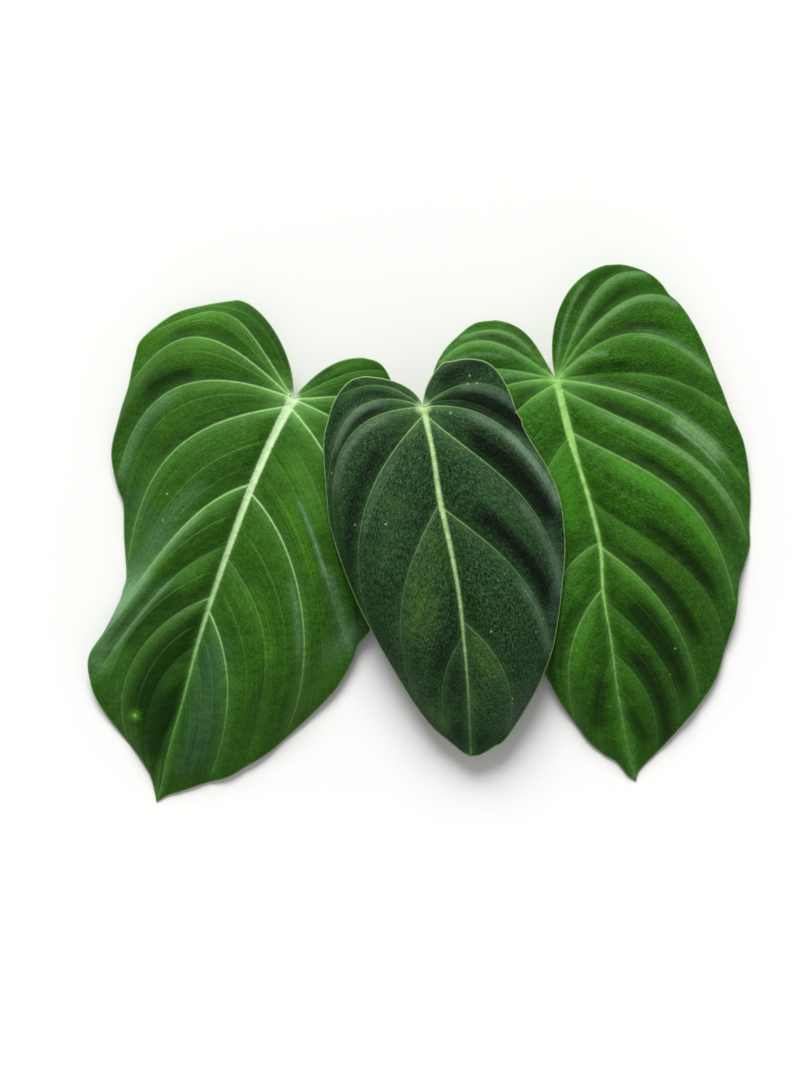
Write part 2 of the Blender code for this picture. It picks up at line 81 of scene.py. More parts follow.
# relief of the finer blades: depths against those of the side veins, and reaches in millimetres
THINNEST = 0.25                # least thickness, in millimetres
FAINT_GROOVE = 0.45
FAINT_GROOVE_REACH = 1.4
MIDRIB_GROOVE = 0.4
EDGE_REACH = 1.1
THINNED_ABOVE = 0.4            # the part of the edge's thinning that the upper face takes
RIB_TAPER = 1.3                # above 1 the midrib's rib shrinks faster near the hub than near the tip
RIB_REACH = 1.0
FAINT_RIB = 0.3
FAINT_RIB_REACH = 0.9
NO_VEIN = (90.0, 0.3, 0.0)     # distance, half width and strength far from every vein

# how drawn lines, strips beside veins and bands begin and end, as shares of their lengths
LINE_TAPER = 0.08
LINE_END = 0.15                # strength that a line keeps at the margin
FAINT_END = 0.4                # strength that a faint line keeps at its outer end
STRIP_WIDTH = 0.42             # a strip's reach, as a share of the gap between its two veins
STRIP_REACH = (0.8, 7.0)       # least and most, in millimetres
STRIP_ENDS = (0.12, 0.15)      # by the midrib and by the margin
STRIP_ALONG = 0.25             # strength of a strip that runs along the light
BAND_TAPER = 0.2
BAND_WHOLE = (0.06, 0.95)      # bands that begin before or end past these shares have no soft end there

# shares across a half: close steps by the midrib and by the margin
BY_MIDRIB = (0, 0.006, 0.014, 0.024, 0.036)
BY_MARGIN = (0.965, 0.978, 0.988, 0.995, 1)
MIDDLE_COLUMNS = 68
TURNED = [2, 1, 0, 3]          # corner order of a face that looks the other way

# Each leaf: "hub" is where the stalk meets the blade, in plan. "midrib" rows are x and y from the
# hub and the height of the underside. "margin" rows are the number of the vein that ends there, x, y
# and height. "veins" rows are the share of the midrib at which the vein leaves it, its angle there,
# its angle at the margin, and how far the curve follows each angle, as a share of its chord. "lines"
# rows are a vein's number, the share across where its pale line starts, its strength there and at the
# margin, and its width against the others. "faint" rows are a number between two veins, the shares
# across where the line starts and ends, and its strength. "ribs" rows are a share of the midrib and
# its width. "bands" rows are a tint, its reach, its strength, and the side, number and shares across
# of the line it follows. "patches" rows follow points from the hub instead. "specks" rows are a kind,
# x, y and radius.
LEAF_LEFT = {
    "hub": (-98.5, 130.0),
    "midrib": [(0, 0, 25), (-14, -28, 27.5), (-26, -56.5, 28.5), (-36.5, -85, 27.5), (-48.5, -119.5, 24.5),
               (-57.5, -148, 20.5), (-65.5, -178, 14.5), (-74.5, -208, 7.5), (-83, -243.5, 0)],
    "west": {
        "margin": [(0, -33.5, 59.5, 14), (0.35, -53, 56.5, 12), (0.7, -72.5, 51, 9), (1, -89, 39, 6),
                   (1.5, -96, 25, 4), (2, -100, 7, 4), (2.4, -105.5, -11.5, 5), (2.75, -110, -34, 5),
                   (3, -107, -51.5, 3), (3.3, -103, -63, 2), (3.6, -102.5, -82, 1), (4, -101, -104.5, 2),
                   (4.5, -103, -115, 4), (5, -106.5, -125, 6), (5.3, -114, -140, 9), (5.6, -123, -154, 9),
                   (6, -122.5, -171.5, 6), (6.5, -115, -188, 2), (7, -99, -209, 0), (7.5, -92, -218.5, 0.5),
                   (8, -87.5, -226, 1), (9, -84, -237.5, 0.5), (10, -83, -243.5, 0)],
        "veins": [(0, 83, 172, 0.36, 0.24), (0, 122, 203, 0.72, 0.60), (0, 137, 235, 0.55, 0.60),
                  (0, 158, 258, 0.50, 0.55), (0.02, 188, 262, 0.45, 0.50), (0.22, 193, 222, 0.37, 0.26),
                  (0.37, 197, 234, 0.34, 0.34), (0.50, 197, 292, 0.36, 0.42), (0.62, 204, 284, 0.36, 0.34),
                  (0.79, 225, 268, 0.36, 0.32), (1, 256, 256, 0.3, 0.3)],
        "lines": [(1, 0, 0.90, 0.50, 0.7), (2, 0, 0.90, 0.50, 0.9), (3, 0, 0.95, 0.50, 0.9),
                  (4, 0, 0.95, 0.50, 0.9), (5, 0, 0.90, 0.50, 1.0), (6, 0, 0.25, 0.35, 0.6),
                  (7, 0, 0.75, 0.30, 0.7), (8, 0, 0.12, 0.05, 0.5), (9, 0, 0.05, 0.02, 0.5)],
        "faint": [(0.5, 0.10, 0.85, 0.35), (1.45, 0.12, 0.90, 0.45), (2.35, 0.12, 0.96, 0.60),
                  (2.7, 0.20, 0.80, 0.25), (3.35, 0.10, 0.95, 0.60), (3.65, 0.10, 0.80, 0.30),
                  (4.2, 0.25, 0.90, 0.30), (4.45, 0.02, 0.92, 0.70), (4.75, 0.05, 0.85, 0.35),
                  (5.47, 0.03, 0.90, 0.60), (6.45, 0.04, 0.90, 0.55), (7.5, 0.05, 0.85, 0.45)],
    },
    "east": {
        "margin": [(0, 42.5, 24.5, 18), (0.5, 51, 22, 16), (1, 56.5, 16, 15), (1.5, 60.5, 6, 14.5),
                   (2, 63, -8.5, 14), (3, 65.5, -55, 14), (3.5, 62.5, -91, 14), (4, 56, -117.5, 11),
                   (4.3, 47, -138, 7), (4.6, 39.5, -148, 6), (5, 35, -159.5, 6), (5.3, 26, -174.5, 4),
                   (5.6, 13, -188.5, 2), (6, -7, -207, 1), (6.5, -18.5, -216, 2), (7, -29.5, -222.5, 3),
                   (7.5, -40, -228.5, 2), (8, -51.5, -231.5, 1), (9, -66.5, -236.5, 1),
                   (10, -76, -239.5, 0.5), (11, -83, -243.5, 0)],
        "lines": [(1, 0, 0.35, 0.25, 0.7), (2, 0, 0.90, 0.40, 1.0), (3, 0, 0.90, 0.40, 1.0),
                  (4, 0, 1.00, 0.50, 1.0), (5, 0, 0.08, 0.10, 0.6), (6, 0, 1.00, 0.50, 0.8),
                  (7, 0, 0.40, 0.25, 0.5), (8, 0, 0.85, 0.40, 0.8), (9, 0, 0.10, 0.08, 0.5),
                  (10, 0, 0.05, 0.03, 0.5)],
        "veins": [(0, 48, -2, 0.35, 0.38), (0, 26, -12, 0.37, 0.35), (0, -1, -28, 0.40, 0.50),
                  (0, -24, -62, 0.40, 0.40), (0.02, -46, -61, 0.38, 0.32), (0.13, -52, -70, 0.35, 0.33),
                  (0.24, -45, -119, 0.32, 0.33), (0.40, -53, -106, 0.42, 0.47), (0.53, -63, -112, 0.39, 0.33),
                  (0.63, -76, -106, 0.36, 0.33), (0.79, -82, -110, 0.36, 0.33), (1, -104, -104, 0.3, 0.3)],
        "faint": [(0.5, 0.15, 0.80, 0.35), (1.5, 0.15, 0.80, 0.45), (2.5, 0.15, 0.90, 0.40),
                  (4.5, 0.10, 0.90, 0.45), (5.5, 0.05, 0.90, 0.45), (6.5, 0.05, 0.90, 0.60),
                  (7.5, 0.05, 0.90, 0.50), (8.5, 0.05, 0.85, 0.40), (9.5, 0.05, 0.85, 0.35)],
    },
    "ribs": [(0, 6.4), (0.06, 5.0), (0.17, 4.4), (0.36, 3.6), (0.53, 2.7), (0.70, 1.6), (1, 0.9)],
    "bands": [("bloom", 1.4, 0.70, "east", 5.0, 0.22, 0.66), ("bloom", 4.0, 0.30, "east", 4.9, 0.55, 0.95),
              ("warm", 4.0, 0.35, "east", 5.45, 0.12, 0.55), ("bloom", 2.2, 0.34, "east", 6.12, 0.34, 0.68),
              ("bloom", 2.2, 0.50, "west", 5.05, 0.22, 0.80), ("bloom", 5.0, 0.45, "west", 5.1, 0.65, 1.0),
              ("bloom", 2.0, 0.55, "west", 6.0, 0.28, 0.85), ("bloom", 4.5, 0.22, "west", 4.65, 0.25, 1.0),
              ("bloom", 3.0, 0.30, "west", 3.1, 0.45, 0.95), ("dusk", 4.5, 0.85, "west", 2.80, 0.40, 0.72),
              ("dusk", 3.5, 0.55, "west", 3.85, 0.40, 0.62), ("dusk", 7.5, 0.75, "west", 6.50, 0.20, 0.70),
              ("dusk", 8.0, 0.90, "west", 7.45, 0.06, 0.85), ("dusk", 7.0, 0.90, "west", 8.6, 0.03, 0.8),
              ("dusk", 6.0, 0.60, "west", 8.05, 0.04, 0.80), ("dusk", 4.0, 0.35, "west", 1.75, 0.30, 0.80),
              ("dusk", 4.0, 0.50, "west", 5.40, 0.10, 0.45), ("dusk", 2.5, 0.45, "west", 0.15, 0.15, 0.85),
              ("dusk", 2.6, 0.55, "east", 0.25, 0.10, 0.60), ("light", 2.2, 0.60, "east", 0.65, 0.25, 0.9),
              ("light", 8.0, 0.60, "east", 4.70, 0.08, 0.5), ("warm", 5.0, 0.35, "east", 6.9, 0.15, 0.6)],
    "patches": [("bloom", 8.0, 0.35, [(-101, -112), (-112, -132), (-118, -158)]),
                ("haze", 6.5, 0.60, [(-49, -152), (-55, -178), (-60, -210), (-66, -222)]),
                ("haze", 5.0, 0.42, [(-42, -150), (-47, -190), (-52, -215)]),
                ("haze", 7.0, 0.40, [(-94, -60), (-80, -85)]),
                ("warm", 16.0, 0.40, [(-80, 35), (-55, 44)]),
                ("dusk", 11.0, 0.40, [(-70, 38), (-86, 10), (-88, -20)]),
                ("dusk", 12.0, 0.50, [(-74, -190), (-84, -225)]),
                ("dusk", 1.2, 0.85, [(38, -126), (39, -141), (36.5, -153)]),
                ("light", 10.0, 0.50, [(-2, -35), (8, -60)]),
                ("light", 7.0, 0.60, [(8, -12), (18, -28)]),
                ("bloom", 7.0, 0.22, [(24, -152), (36, -140)]),
                ("light", 9.0, 0.50, [(10, -180), (24, -160)])],
    "specks": [("warm", -95.3, -190.6, 5.0), ("pale", -95.3, -190.6, 1.5), ("brown", -103.7, -47.8, 1.6),
               ("pale", -77.9, -73.0, 0.7), ("pale", -75.5, -57.4, 0.8), ("brown", -1.5, 1.5, 0.9)],
}
LEAF_MIDDLE = {
    "hub": (-20.5, 124.0),
    "midrib": [(0, 0, 58), (5.5, -25, 59), (10, -55, 57), (16, -82, 53), (21.5, -112, 47),
               (24.5, -139, 39), (27, -169, 30), (29, -209.5, 14)],
    "west": {
        "margin": [(0, -35.5, 18.5, 46), (0.5, -44, 15.5, 44), (1, -51.5, 6.5, 42), (1.5, -56.5, -7, 40),
                   (1.75, -59.5, -22, 39), (2, -57.5, -55, 36), (2.5, -54, -76, 34), (3, -48.5, -93.5, 31),
                   (3.5, -39.5, -116, 27), (4, -29.5, -136, 23), (4.5, -16, -160, 20), (5, -3.5, -180, 18),
                   (5.5, 6.5, -192.5, 16), (6, 15.5, -200, 15), (7, 24, -207, 14), (8, 29, -209.5, 14)],
        "lines": [(1, 0, 0.80, 0.40, 0.8), (2, 0, 0.85, 0.45, 0.9), (3, 0, 0.90, 0.35, 0.8),
                  (4, 0, 0.95, 0.35, 0.8), (5, 0, 0.75, 0.35, 0.7), (6, 0, 0.60, 0.35, 0.6),
                  (7, 0, 0.04, 0.02, 0.5)],
        "veins": [(0, 108, 177, 0.36, 0.34), (0, 143, 207, 0.40, 0.50), (0, 157, 268, 0.60, 0.45),
                  (0, 182, 282, 0.55, 0.48), (0.02, 226, 290, 0.36, 0.45), (0.27, 241, 288, 0.45, 0.42),
                  (0.655, 232, 290, 0.36, 0.35), (0.85, 245, 295, 0.36, 0.33), (1, 273, 273, 0.3, 0.3)],
        "faint": [(0.5, 0.15, 0.80, 0.35), (1.5, 0.15, 0.80, 0.25), (2.5, 0.25, 0.80, 0.15),
                  (3.5, 0.25, 0.85, 0.18), (4.5, 0.20, 0.80, 0.22), (5.5, 0.15, 0.85, 0.28)],
    },
    "east": {
        "margin": [(0, 11, 26, 48), (0.13, 14, 27.2, 48), (0.22, 17, 27.4, 48), (0.32, 21, 28.3, 48),
                   (0.45, 28, 28.9, 48), (0.6, 37.5, 27, 47), (0.78, 46, 19.5, 46), (0.9, 51, 10.5, 45.3),
                   (1.1, 54.5, 1, 44.7), (1.25, 56.5, -3.8, 44), (1.4, 58.9, -7.6, 44.4),
                   (1.52, 59.4, -10.4, 43.8), (1.68, 61.2, -14.2, 43.4), (2, 66, -22.5, 43),
                   (2.5, 74.5, -36.5, 42), (3, 82, -55, 40),
                   (3.5, 85, -82, 37), (4, 83.5, -105, 34), (4.5, 81, -127, 30), (5, 77, -147.5, 25),
                   (5.5, 67, -171.5, 20), (6, 51, -197.5, 17), (6.5, 43, -203.5, 16), (7, 36.5, -207.5, 15),
                   (8, 29, -209.5, 14)],
        "lines": [(1, 0, 0.75, 0.40, 0.9), (2, 0, 0.15, 0.10, 0.6), (3, 0, 0.95, 0.45, 0.9),
                  (4, 0, 1.00, 0.50, 0.8), (5, 0, 0.90, 0.40, 0.8), (6, 0, 0.75, 0.40, 0.7),
                  (7, 0, 0.04, 0.02, 0.5)],
        "veins": [(0, 90, 50, 0.42, 0.32), (0, 42, -45, 0.46, 0.38), (0, 26, -46, 0.38, 0.38),
                  (0, 8, -62, 0.42, 0.35), (0.02, -42, -78, 0.38, 0.45), (0.285, -37, -84, 0.36, 0.40),
                  (0.61, -39, -105, 0.40, 0.38), (0.85, -52, -112, 0.36, 0.33), (1, -87, -87, 0.3, 0.3)],
        "faint": [(0.5, 0.15, 0.80, 0.45), (1.5, 0.20, 0.85, 0.30), (2.5, 0.25, 0.85, 0.25),
                  (3.5, 0.25, 0.85, 0.25), (4.5, 0.10, 0.85, 0.28), (5.5, 0.10, 0.80, 0.28)],
    },
    "ribs": [(0, 4.2), (0.05, 3.2), (0.29, 3.0), (0.44, 2.4), (0.61, 2.0), (0.75, 1.1), (1, 0.5)],
    "bands": [("dusk", 6.0, 1.00, "east", 1.60, 0.10, 0.96), ("dusk", 4.5, 1.00, "east", 3.82, 0.20, 0.94),
              ("dusk", 5.5, 0.85, "east", 3.58, 0.14, 0.92), ("dusk", 4.0, 0.70, "east", 2.62, 0.20, 0.85),
              ("dusk", 5.5, 0.75, "east", 0.62, 0.25, 0.95),
              ("dusk", 6.0, 0.95, "east", 4.70, 0.16, 0.94), ("dusk", 3.4, 0.95, "west", 2.60, 0.15, 0.72),
              ("dusk", 4.0, 0.60, "west", 3.75, 0.15, 0.90), ("dusk", 2.2, 0.60, "west", 1.65, 0.25, 0.60),
              ("bloom", 2.6, 0.65, "east", 3.12, 0.16, 0.95), ("bloom", 3.6, 0.45, "east", 3.05, 0.45, 1.00),
              ("bloom", 2.8, 0.55, "west", 2.15, 0.15, 0.70), ("bloom", 2.8, 0.45, "west", 3.12, 0.10, 0.70),
              ("bloom", 1.6, 0.30, "west", 4.08, 0.15, 0.60), ("bloom", 2.8, 0.50, "east", 4.12, 0.50, 1.00),
              ("bloom", 2.4, 0.55, "east", 5.08, 0.50, 0.95), ("bloom", 2.4, 0.36, "east", 1.10, 0.32, 1.00),
              ("warm", 4.0, 0.30, "west", 5.25, 0.25, 0.60), ("light", 8.0, 0.35, "east", 4.45, 0.20, 0.70),
              ("light", 8.0, 0.30, "west", 4.50, 0.15, 0.60)],
    "patches": [("warm", 5.0, 0.55, [(6.5, -182), (12, -190)]),
                ("warm", 6.0, 0.36, [(30, -142), (40, -158)]),
                ("warm", 5.0, 0.35, [(26, -168), (31, -176)]),
                ("warm", 3.0, 0.25, [(-22, -53), (-21, -58)]),
                ("warm", 9.0, 0.26, [(11, -82), (1, -104), (2, -132)]),
                ("dusk", 9.0, 0.60, [(14, -150), (20, -168)]),
                ("dusk", 8.0, 0.60, [(20, -195), (34, -198)]),
                ("haze", 3.0, 0.45, [(76, -70), (80, -95), (78, -125)]),
                ("haze", 6.0, 0.35, [(66, -165), (52, -190)])],
    "specks": [("pale", -22.4, -69.6, 0.9), ("pale", -40.4, -70.0, 0.7), ("pale", -54.2, -39.0, 0.7),
               ("pale", 40.6, -133.5, 0.9), ("pale", 67.5, -133.8, 0.7), ("pale", 27.6, 18.6, 0.9),
               ("pale", 53.8, -174.0, 0.8), ("pale", 53.6, -177.0, 0.6), ("pale", 26.4, 13.7, 1.0),
               ("pale", 32.0, 14.2, 0.8), ("pale", 59.5, -7.1, 1.4), ("pale", 55.4, -3.0, 0.8),
               ("pale", 8.1, -3.0, 0.7), ("pale", 16.3, -3.6, 0.9), ("pale", 69.6, -35.6, 0.6),
               ("pale", 44.7, -102.8, 0.6), ("pale", 48.3, -98.8, 0.5), ("pale", 26.9, -102.3, 0.6)],
}
LEAF_RIGHT = {
    "hub": (59.5, 141.5),
    "midrib": [(0, 0, 25), (9, -36.5, 28), (20.5, -75.5, 29), (26.5, -101.5, 28), (28, -126.5, 26),
               (33, -156.5, 22), (37, -186.5, 16), (41.5, -210.5, 9), (49, -242.5, 0)],
    "west": {
        "margin": [(0, -36.5, 35.5, 20), (0.5, -49, 33.5, 18), (1, -60, 25, 17), (1.5, -67, 17.5, 16),
                   (2, -72, 8.5, 15), (3, -75, -11.5, 14), (4, -71, -40, 14), (5, -56, -80, 14),
                   (5.5, -39.5, -117.5, 13), (6, -21, -155, 10), (6.5, -9.5, -172, 8), (7, -3.5, -182, 6),
                   (7.5, 3, -194.5, 4), (8, 12.5, -208, 2), (8.5, 20.5, -218.5, 1), (9, 28, -225, 1),
                   (10, 38.5, -232, 1), (10.5, 44, -239, 0.5), (11, 49, -242.5, 0)],
        "lines": [(1, 0, 0.50, 0.40, 1.0), (2, 0, 0.70, 0.50, 1.2), (3, 0, 0.70, 0.50, 1.2),
                  (4, 0, 0.85, 0.50, 1.1), (5, 0, 0.70, 0.40, 1.1), (6, 0, 0.50, 0.35, 0.8),
                  (7, 0, 0.70, 0.40, 0.8), (8, 0, 0.80, 0.50, 0.9), (9, 0, 0.10, 0.08, 0.6),
                  (10, 0, 0.04, 0.02, 0.5)],
        "veins": [(0, 125, 174, 0.36, 0.43), (0, 130, 200, 0.50, 0.55), (0, 143, 228, 0.50, 0.50),
                  (0, 167, 238, 0.36, 0.40), (0, 178, 247, 0.40, 0.36), (0.01, 204, 259, 0.32, 0.34),
                  (0.14, 230, 275, 0.35, 0.37), (0.41, 203, 277, 0.38, 0.37), (0.52, 228, 286, 0.40, 0.37),
                  (0.685, 243, 280, 0.36, 0.34), (0.82, 255, 285, 0.36, 0.33), (1, 283, 283, 0.3, 0.3)],
        "faint": [(0.5, 0.15, 0.85, 0.35), (1.5, 0.20, 0.85, 0.30), (4.5, 0.15, 0.85, 0.35),
                  (5.5, 0.10, 0.90, 0.40), (6.5, 0.05, 0.90, 0.40), (7.5, 0.10, 0.85, 0.40),
                  (8.5, 0.05, 0.85, 0.35)],
    },
    "east": {
        "margin": [(0, 30, 68.5, 24), (0.5, 42, 68.5, 21), (1, 56.5, 63.5, 18), (1.4, 64, 57, 16),
                   (1.7, 68.5, 51, 14), (2, 74.5, 46, 12), (2.5, 86.5, 27.5, 9), (3, 98, 0.5, 8),
                   (4, 106, -20, 7), (4.5, 114, -38.5, 5), (5, 118, -66.5, 2), (5.5, 117.5, -87.5, 0),
                   (6, 117.5, -101.5, 1), (6.3, 114.5, -111, 3), (6.6, 111.5, -120.5, 5), (7, 109.5, -140, 6),
                   (7.5, 105, -155.5, 4), (8, 102.5, -163, 3), (8.5, 97, -180.5, 3), (9, 87, -196, 4),
                   (9.5, 80.5, -204, 4), (10, 74.5, -211, 3), (11, 62, -224.5, 1), (12, 53, -233.5, 0.5),
                   (12.5, 50, -237.5, 0.3), (13, 49, -242.5, 0)],
        "lines": [(1, 0, 0.60, 0.45, 1.3), (2, 0, 0.70, 0.50, 1.3), (3, 0, 0.80, 0.50, 1.1),
                  (4, 0.36, 0.30, 0.55, 1.0), (5, 0, 0.80, 0.50, 1.4), (6, 0, 0.75, 0.55, 1.1),
                  (7, 0, 0.85, 0.60, 1.0), (8, 0, 0.10, 0.25, 0.7), (9, 0, 0.85, 0.40, 0.9),
                  (10, 0, 0.15, 0.25, 0.8), (11, 0, 0.30, 0.20, 0.7), (12, 0, 0.04, 0.02, 0.5)],
        "veins": [(0, 106, 15, 0.36, 0.40), (0, 69, -16, 0.37, 0.42), (0, 62, -34, 0.33, 0.40),
                  (0, 48, -48, 0.45, 0.55), (0, 8, -39, 0.36, 0.42), (0, -5, -56, 0.36, 0.40),
                  (0.02, -30, -76, 0.36, 0.43), (0.13, -28, -80, 0.37, 0.50), (0.30, -40, -85, 0.36, 0.40),
                  (0.42, -33, -84, 0.37, 0.36), (0.55, -37, -99, 0.34, 0.32), (0.68, -34, -92, 0.34, 0.34),
                  (0.84, -50, -97, 0.36, 0.33), (1, -77, -77, 0.3, 0.3)],
        "faint": [(0.5, 0.05, 0.75, 0.60), (1.5, 0.20, 0.85, 0.35), (2.5, 0.20, 0.85, 0.35),
                  (3.5, 0.20, 0.85, 0.30), (4.5, 0.25, 0.90, 0.35), (6.5, 0.15, 0.90, 0.35),
                  (7.5, 0.10, 0.90, 0.35), (8.5, 0.10, 0.90, 0.40), (9.5, 0.10, 0.85, 0.40),
                  (10.5, 0.10, 0.85, 0.40), (11.5, 0.10, 0.85, 0.35)],
    },
    "ribs": [(0, 4.4), (0.05, 4.0), (0.10, 4.6), (0.14, 4.4), (0.20, 2.9), (0.33, 2.5), (0.44, 2.2),
             (0.52, 1.8), (0.60, 1.2), (0.75, 0.9), (1, 0.5)],
    "bands": [("bloom", 1.8, 0.70, "east", 4.95, 0.04, 0.90), ("bloom", 4.0, 0.60, "east", 5.15, 0.50, 0.82),
              ("bloom", 1.0, 0.35, "east", 5.36, 0.50, 0.85), ("bloom", 2.2, 0.45, "east", 3.0, 0.45, 0.95),
              ("bloom", 2.2, 0.40, "east", 2.1, 0.25, 0.95), ("bloom", 2.2, 0.35, "east", 1.1, 0.20, 0.95),
              ("bloom", 1.2, 0.40, "east", 0.5, 0.05, 0.75), ("bloom", 2.0, 0.45, "east", 6.1, 0.10, 0.90),
              ("bloom", 2.2, 0.40, "west", 2.05, 0.10, 0.95), ("bloom", 1.8, 0.35, "west", 1.1, 0.20, 0.95),
              ("bloom", 1.5, 0.35, "west", 2.5, 0.30, 0.95), ("bloom", 2.5, 0.35, "west", 3.4, 0.05, 0.5),
              ("light", 4.0, 0.80, "east", 7.15, 0.10, 0.85), ("light", 2.6, 0.60, "east", 9.12, 0.08, 0.60),
              ("light", 3.0, 0.45, "west", 8.2, 0.10, 0.60), ("light", 2.5, 0.35, "east", 11.2, 0.05, 0.5),
              ("dusk", 4.0, 0.90, "east", 6.75, 0.25, 0.85), ("dusk", 5.0, 0.80, "east", 7.75, 0.25, 0.85),
              ("dusk", 4.0, 0.75, "east", 5.75, 0.12, 0.60), ("dusk", 5.0, 0.80, "east", 8.70, 0.15, 0.80),
              ("dusk", 6.5, 0.85, "east", 9.62, 0.12, 0.90), ("dusk", 5.5, 0.75, "east", 10.6, 0.15, 0.95),
              ("dusk", 4.0, 0.60, "east", 11.7, 0.15, 0.80), ("dusk", 2.6, 0.65, "east", 3.75, 0.12, 0.45),
              ("dusk", 3.0, 0.60, "east", 4.30, 0.50, 0.80), ("dusk", 3.0, 0.60, "east", 1.65, 0.30, 0.80),
              ("dusk", 3.5, 0.60, "east", 0.75, 0.45, 0.90), ("dusk", 3.0, 0.55, "east", 2.75, 0.25, 0.80),
              ("dusk", 2.2, 0.60, "west", 0.35, 0.30, 0.80), ("dusk", 2.0, 0.50, "west", 1.65, 0.30, 0.80),
              ("dusk", 3.0, 0.55, "west", 4.6, 0.05, 0.30), ("dusk", 4.0, 0.60, "west", 7.65, 0.20, 0.80),
              ("dusk", 5.0, 0.85, "west", 9.0, 0.20, 0.80)],
    "patches": [("bloom", 1.8, 0.38, [(7, 7), (13, 12), (21, 15), (29, 15)]),
                ("warm", 14.0, 0.30, [(50, -105), (75, -140)]),
                ("dusk", 28.0, 0.35, [(66, -125), (52, -185)]),
                ("light", 10.0, 0.60, [(3, -50), (10, -85)])],
    "specks": [("pale", 71.3, -161.6, 0.9), ("pale", 68.6, -177.2, 0.7), ("pale", 45.0, -40.0, 0.5),
               ("pale", 20.0, 30.0, 0.5)],
}
LEAVES = {"leaf_left": LEAF_LEFT, "leaf_middle": LEAF_MIDDLE, "leaf_right": LEAF_RIGHT}
# tints laid on the blades: a yellower green of the leaf itself, then painted sheen, painted shade, painted
# light and a painted grey reflection, in this order
TINTS = ("warm", "bloom", "dusk", "light", "haze")

# shape of the stalks and the rhizome, as in the solids
RHIZOME_AXIS = [(7, -52, 7.5), (2, -20, 7.5), (-2, 10, 7.5), (-4, 34, 8), (-4, 52, 11.5)]
RHIZOME_RADIUS = 9.5
RING_SPACING = 11.0
RING_HEIGHT = 0.09
BUD_START = 0.80
COLLAR_REACH = 22.0
COLLAR_RADII = (7.0, 5.2)
ROOT_RADII = (1.7, 0.7)
ROOTS = [(6, -46, 150, 30), (5, -40, -20, 26), (3, -27, 200, 24), (2, -17, -8, 32),
         (-1, 2, 188, 20), (-3, 22, 12, 22), (-4, 32, 165, 18)]
ROOT_HEIGHT = 3.4
PETIOLES = {
    "petiole_left": {"share": 0.50, "heading": 148, "rise": -3, "radii": (4.8, 3.7), "leaf": LEAF_LEFT,
                     "points": [(-32, 36, 5.6), (-62, 72, 5.4), (-88, 104, 6.6), (-98, 119, 13)]},
    "petiole_right": {"share": 0.38, "heading": 44, "rise": -3, "radii": (4.8, 3.7), "leaf": LEAF_RIGHT,
                      "points": [(28, 42, 5.6), (48, 88, 5.4), (59, 120, 6.8), (61.5, 131, 13.5)]},
    "petiole_middle": {"share": 0.66, "heading": 98, "rise": 48, "radii": (4.8, 3.4), "leaf": LEAF_MIDDLE,
                       "points": [(-8, 62, 34), (-14, 92, 41), (-18.5, 112, 46)]},
}
HUB_INSET = 4.6
STALK_TOP = 3.95

# relief of the finer stalks: swells are shares of the radius, places and lengths shares of the stalk
FRONT_FLAT = 0.22              # the part of the radius that the flat front takes away
RIDGE_SWELL = 0.10
RIDGE_ANGLE = 0.9              # from the front, in radians
RIDGE_WIDTH = 0.22
RIDGE_LINE_WIDTH = 0.16
KNUCKLE_SWELL = 0.07
KNUCKLE_AT = 0.955
KNUCKLE_LENGTH = 0.025
FOOT_SWELL = 0.05
FOOT_LENGTH = 0.03

# relief of the finer rhizome: rings and flutes against the radius, lengths in ring spacings
STEM_BODY = 0.97               # mean radius between the rings
RING_SHARPNESS = 5.5
RING_WANDER = (0.05, 0.03)     # once round the stem, and three times
VALLEY_DEPTH = 0.25            # share of a ring's height
VALLEY_AFTER = 0.2
VALLEY_SHARPNESS = 11.0
FLUTE_HEIGHT = 0.02
BUD_TIP = 0.03                 # square of the share of the radius that the bud's end keeps
COLLAR_START = 0.2             # collars: shares of their reach, and the lip's height in millimetres
LIP_HEIGHT = 0.35
LIP_AT = 0.97
LIP_LENGTH = 0.03

# roots: wander, the run down to the ground, round tip and knots, as shares of the length or radius
ROOT_WANDER = 0.10
ROOT_LANDING = 0.625
ROOT_TIP = 0.05
ROOT_KNOTS = (0.06, 0.04)
ROOT_CLEAR = 0.15              # the ground's distance from a root that lies on it, in millimetres

# grids of the round pieces
STALK_RINGS = 240
STALK_SIDES = 64
STALK_RIBS = 16
STEM_RINGS = 360
STEM_SIDES = 128
ROOT_RINGS = 70
ROOT_SIDES = 20
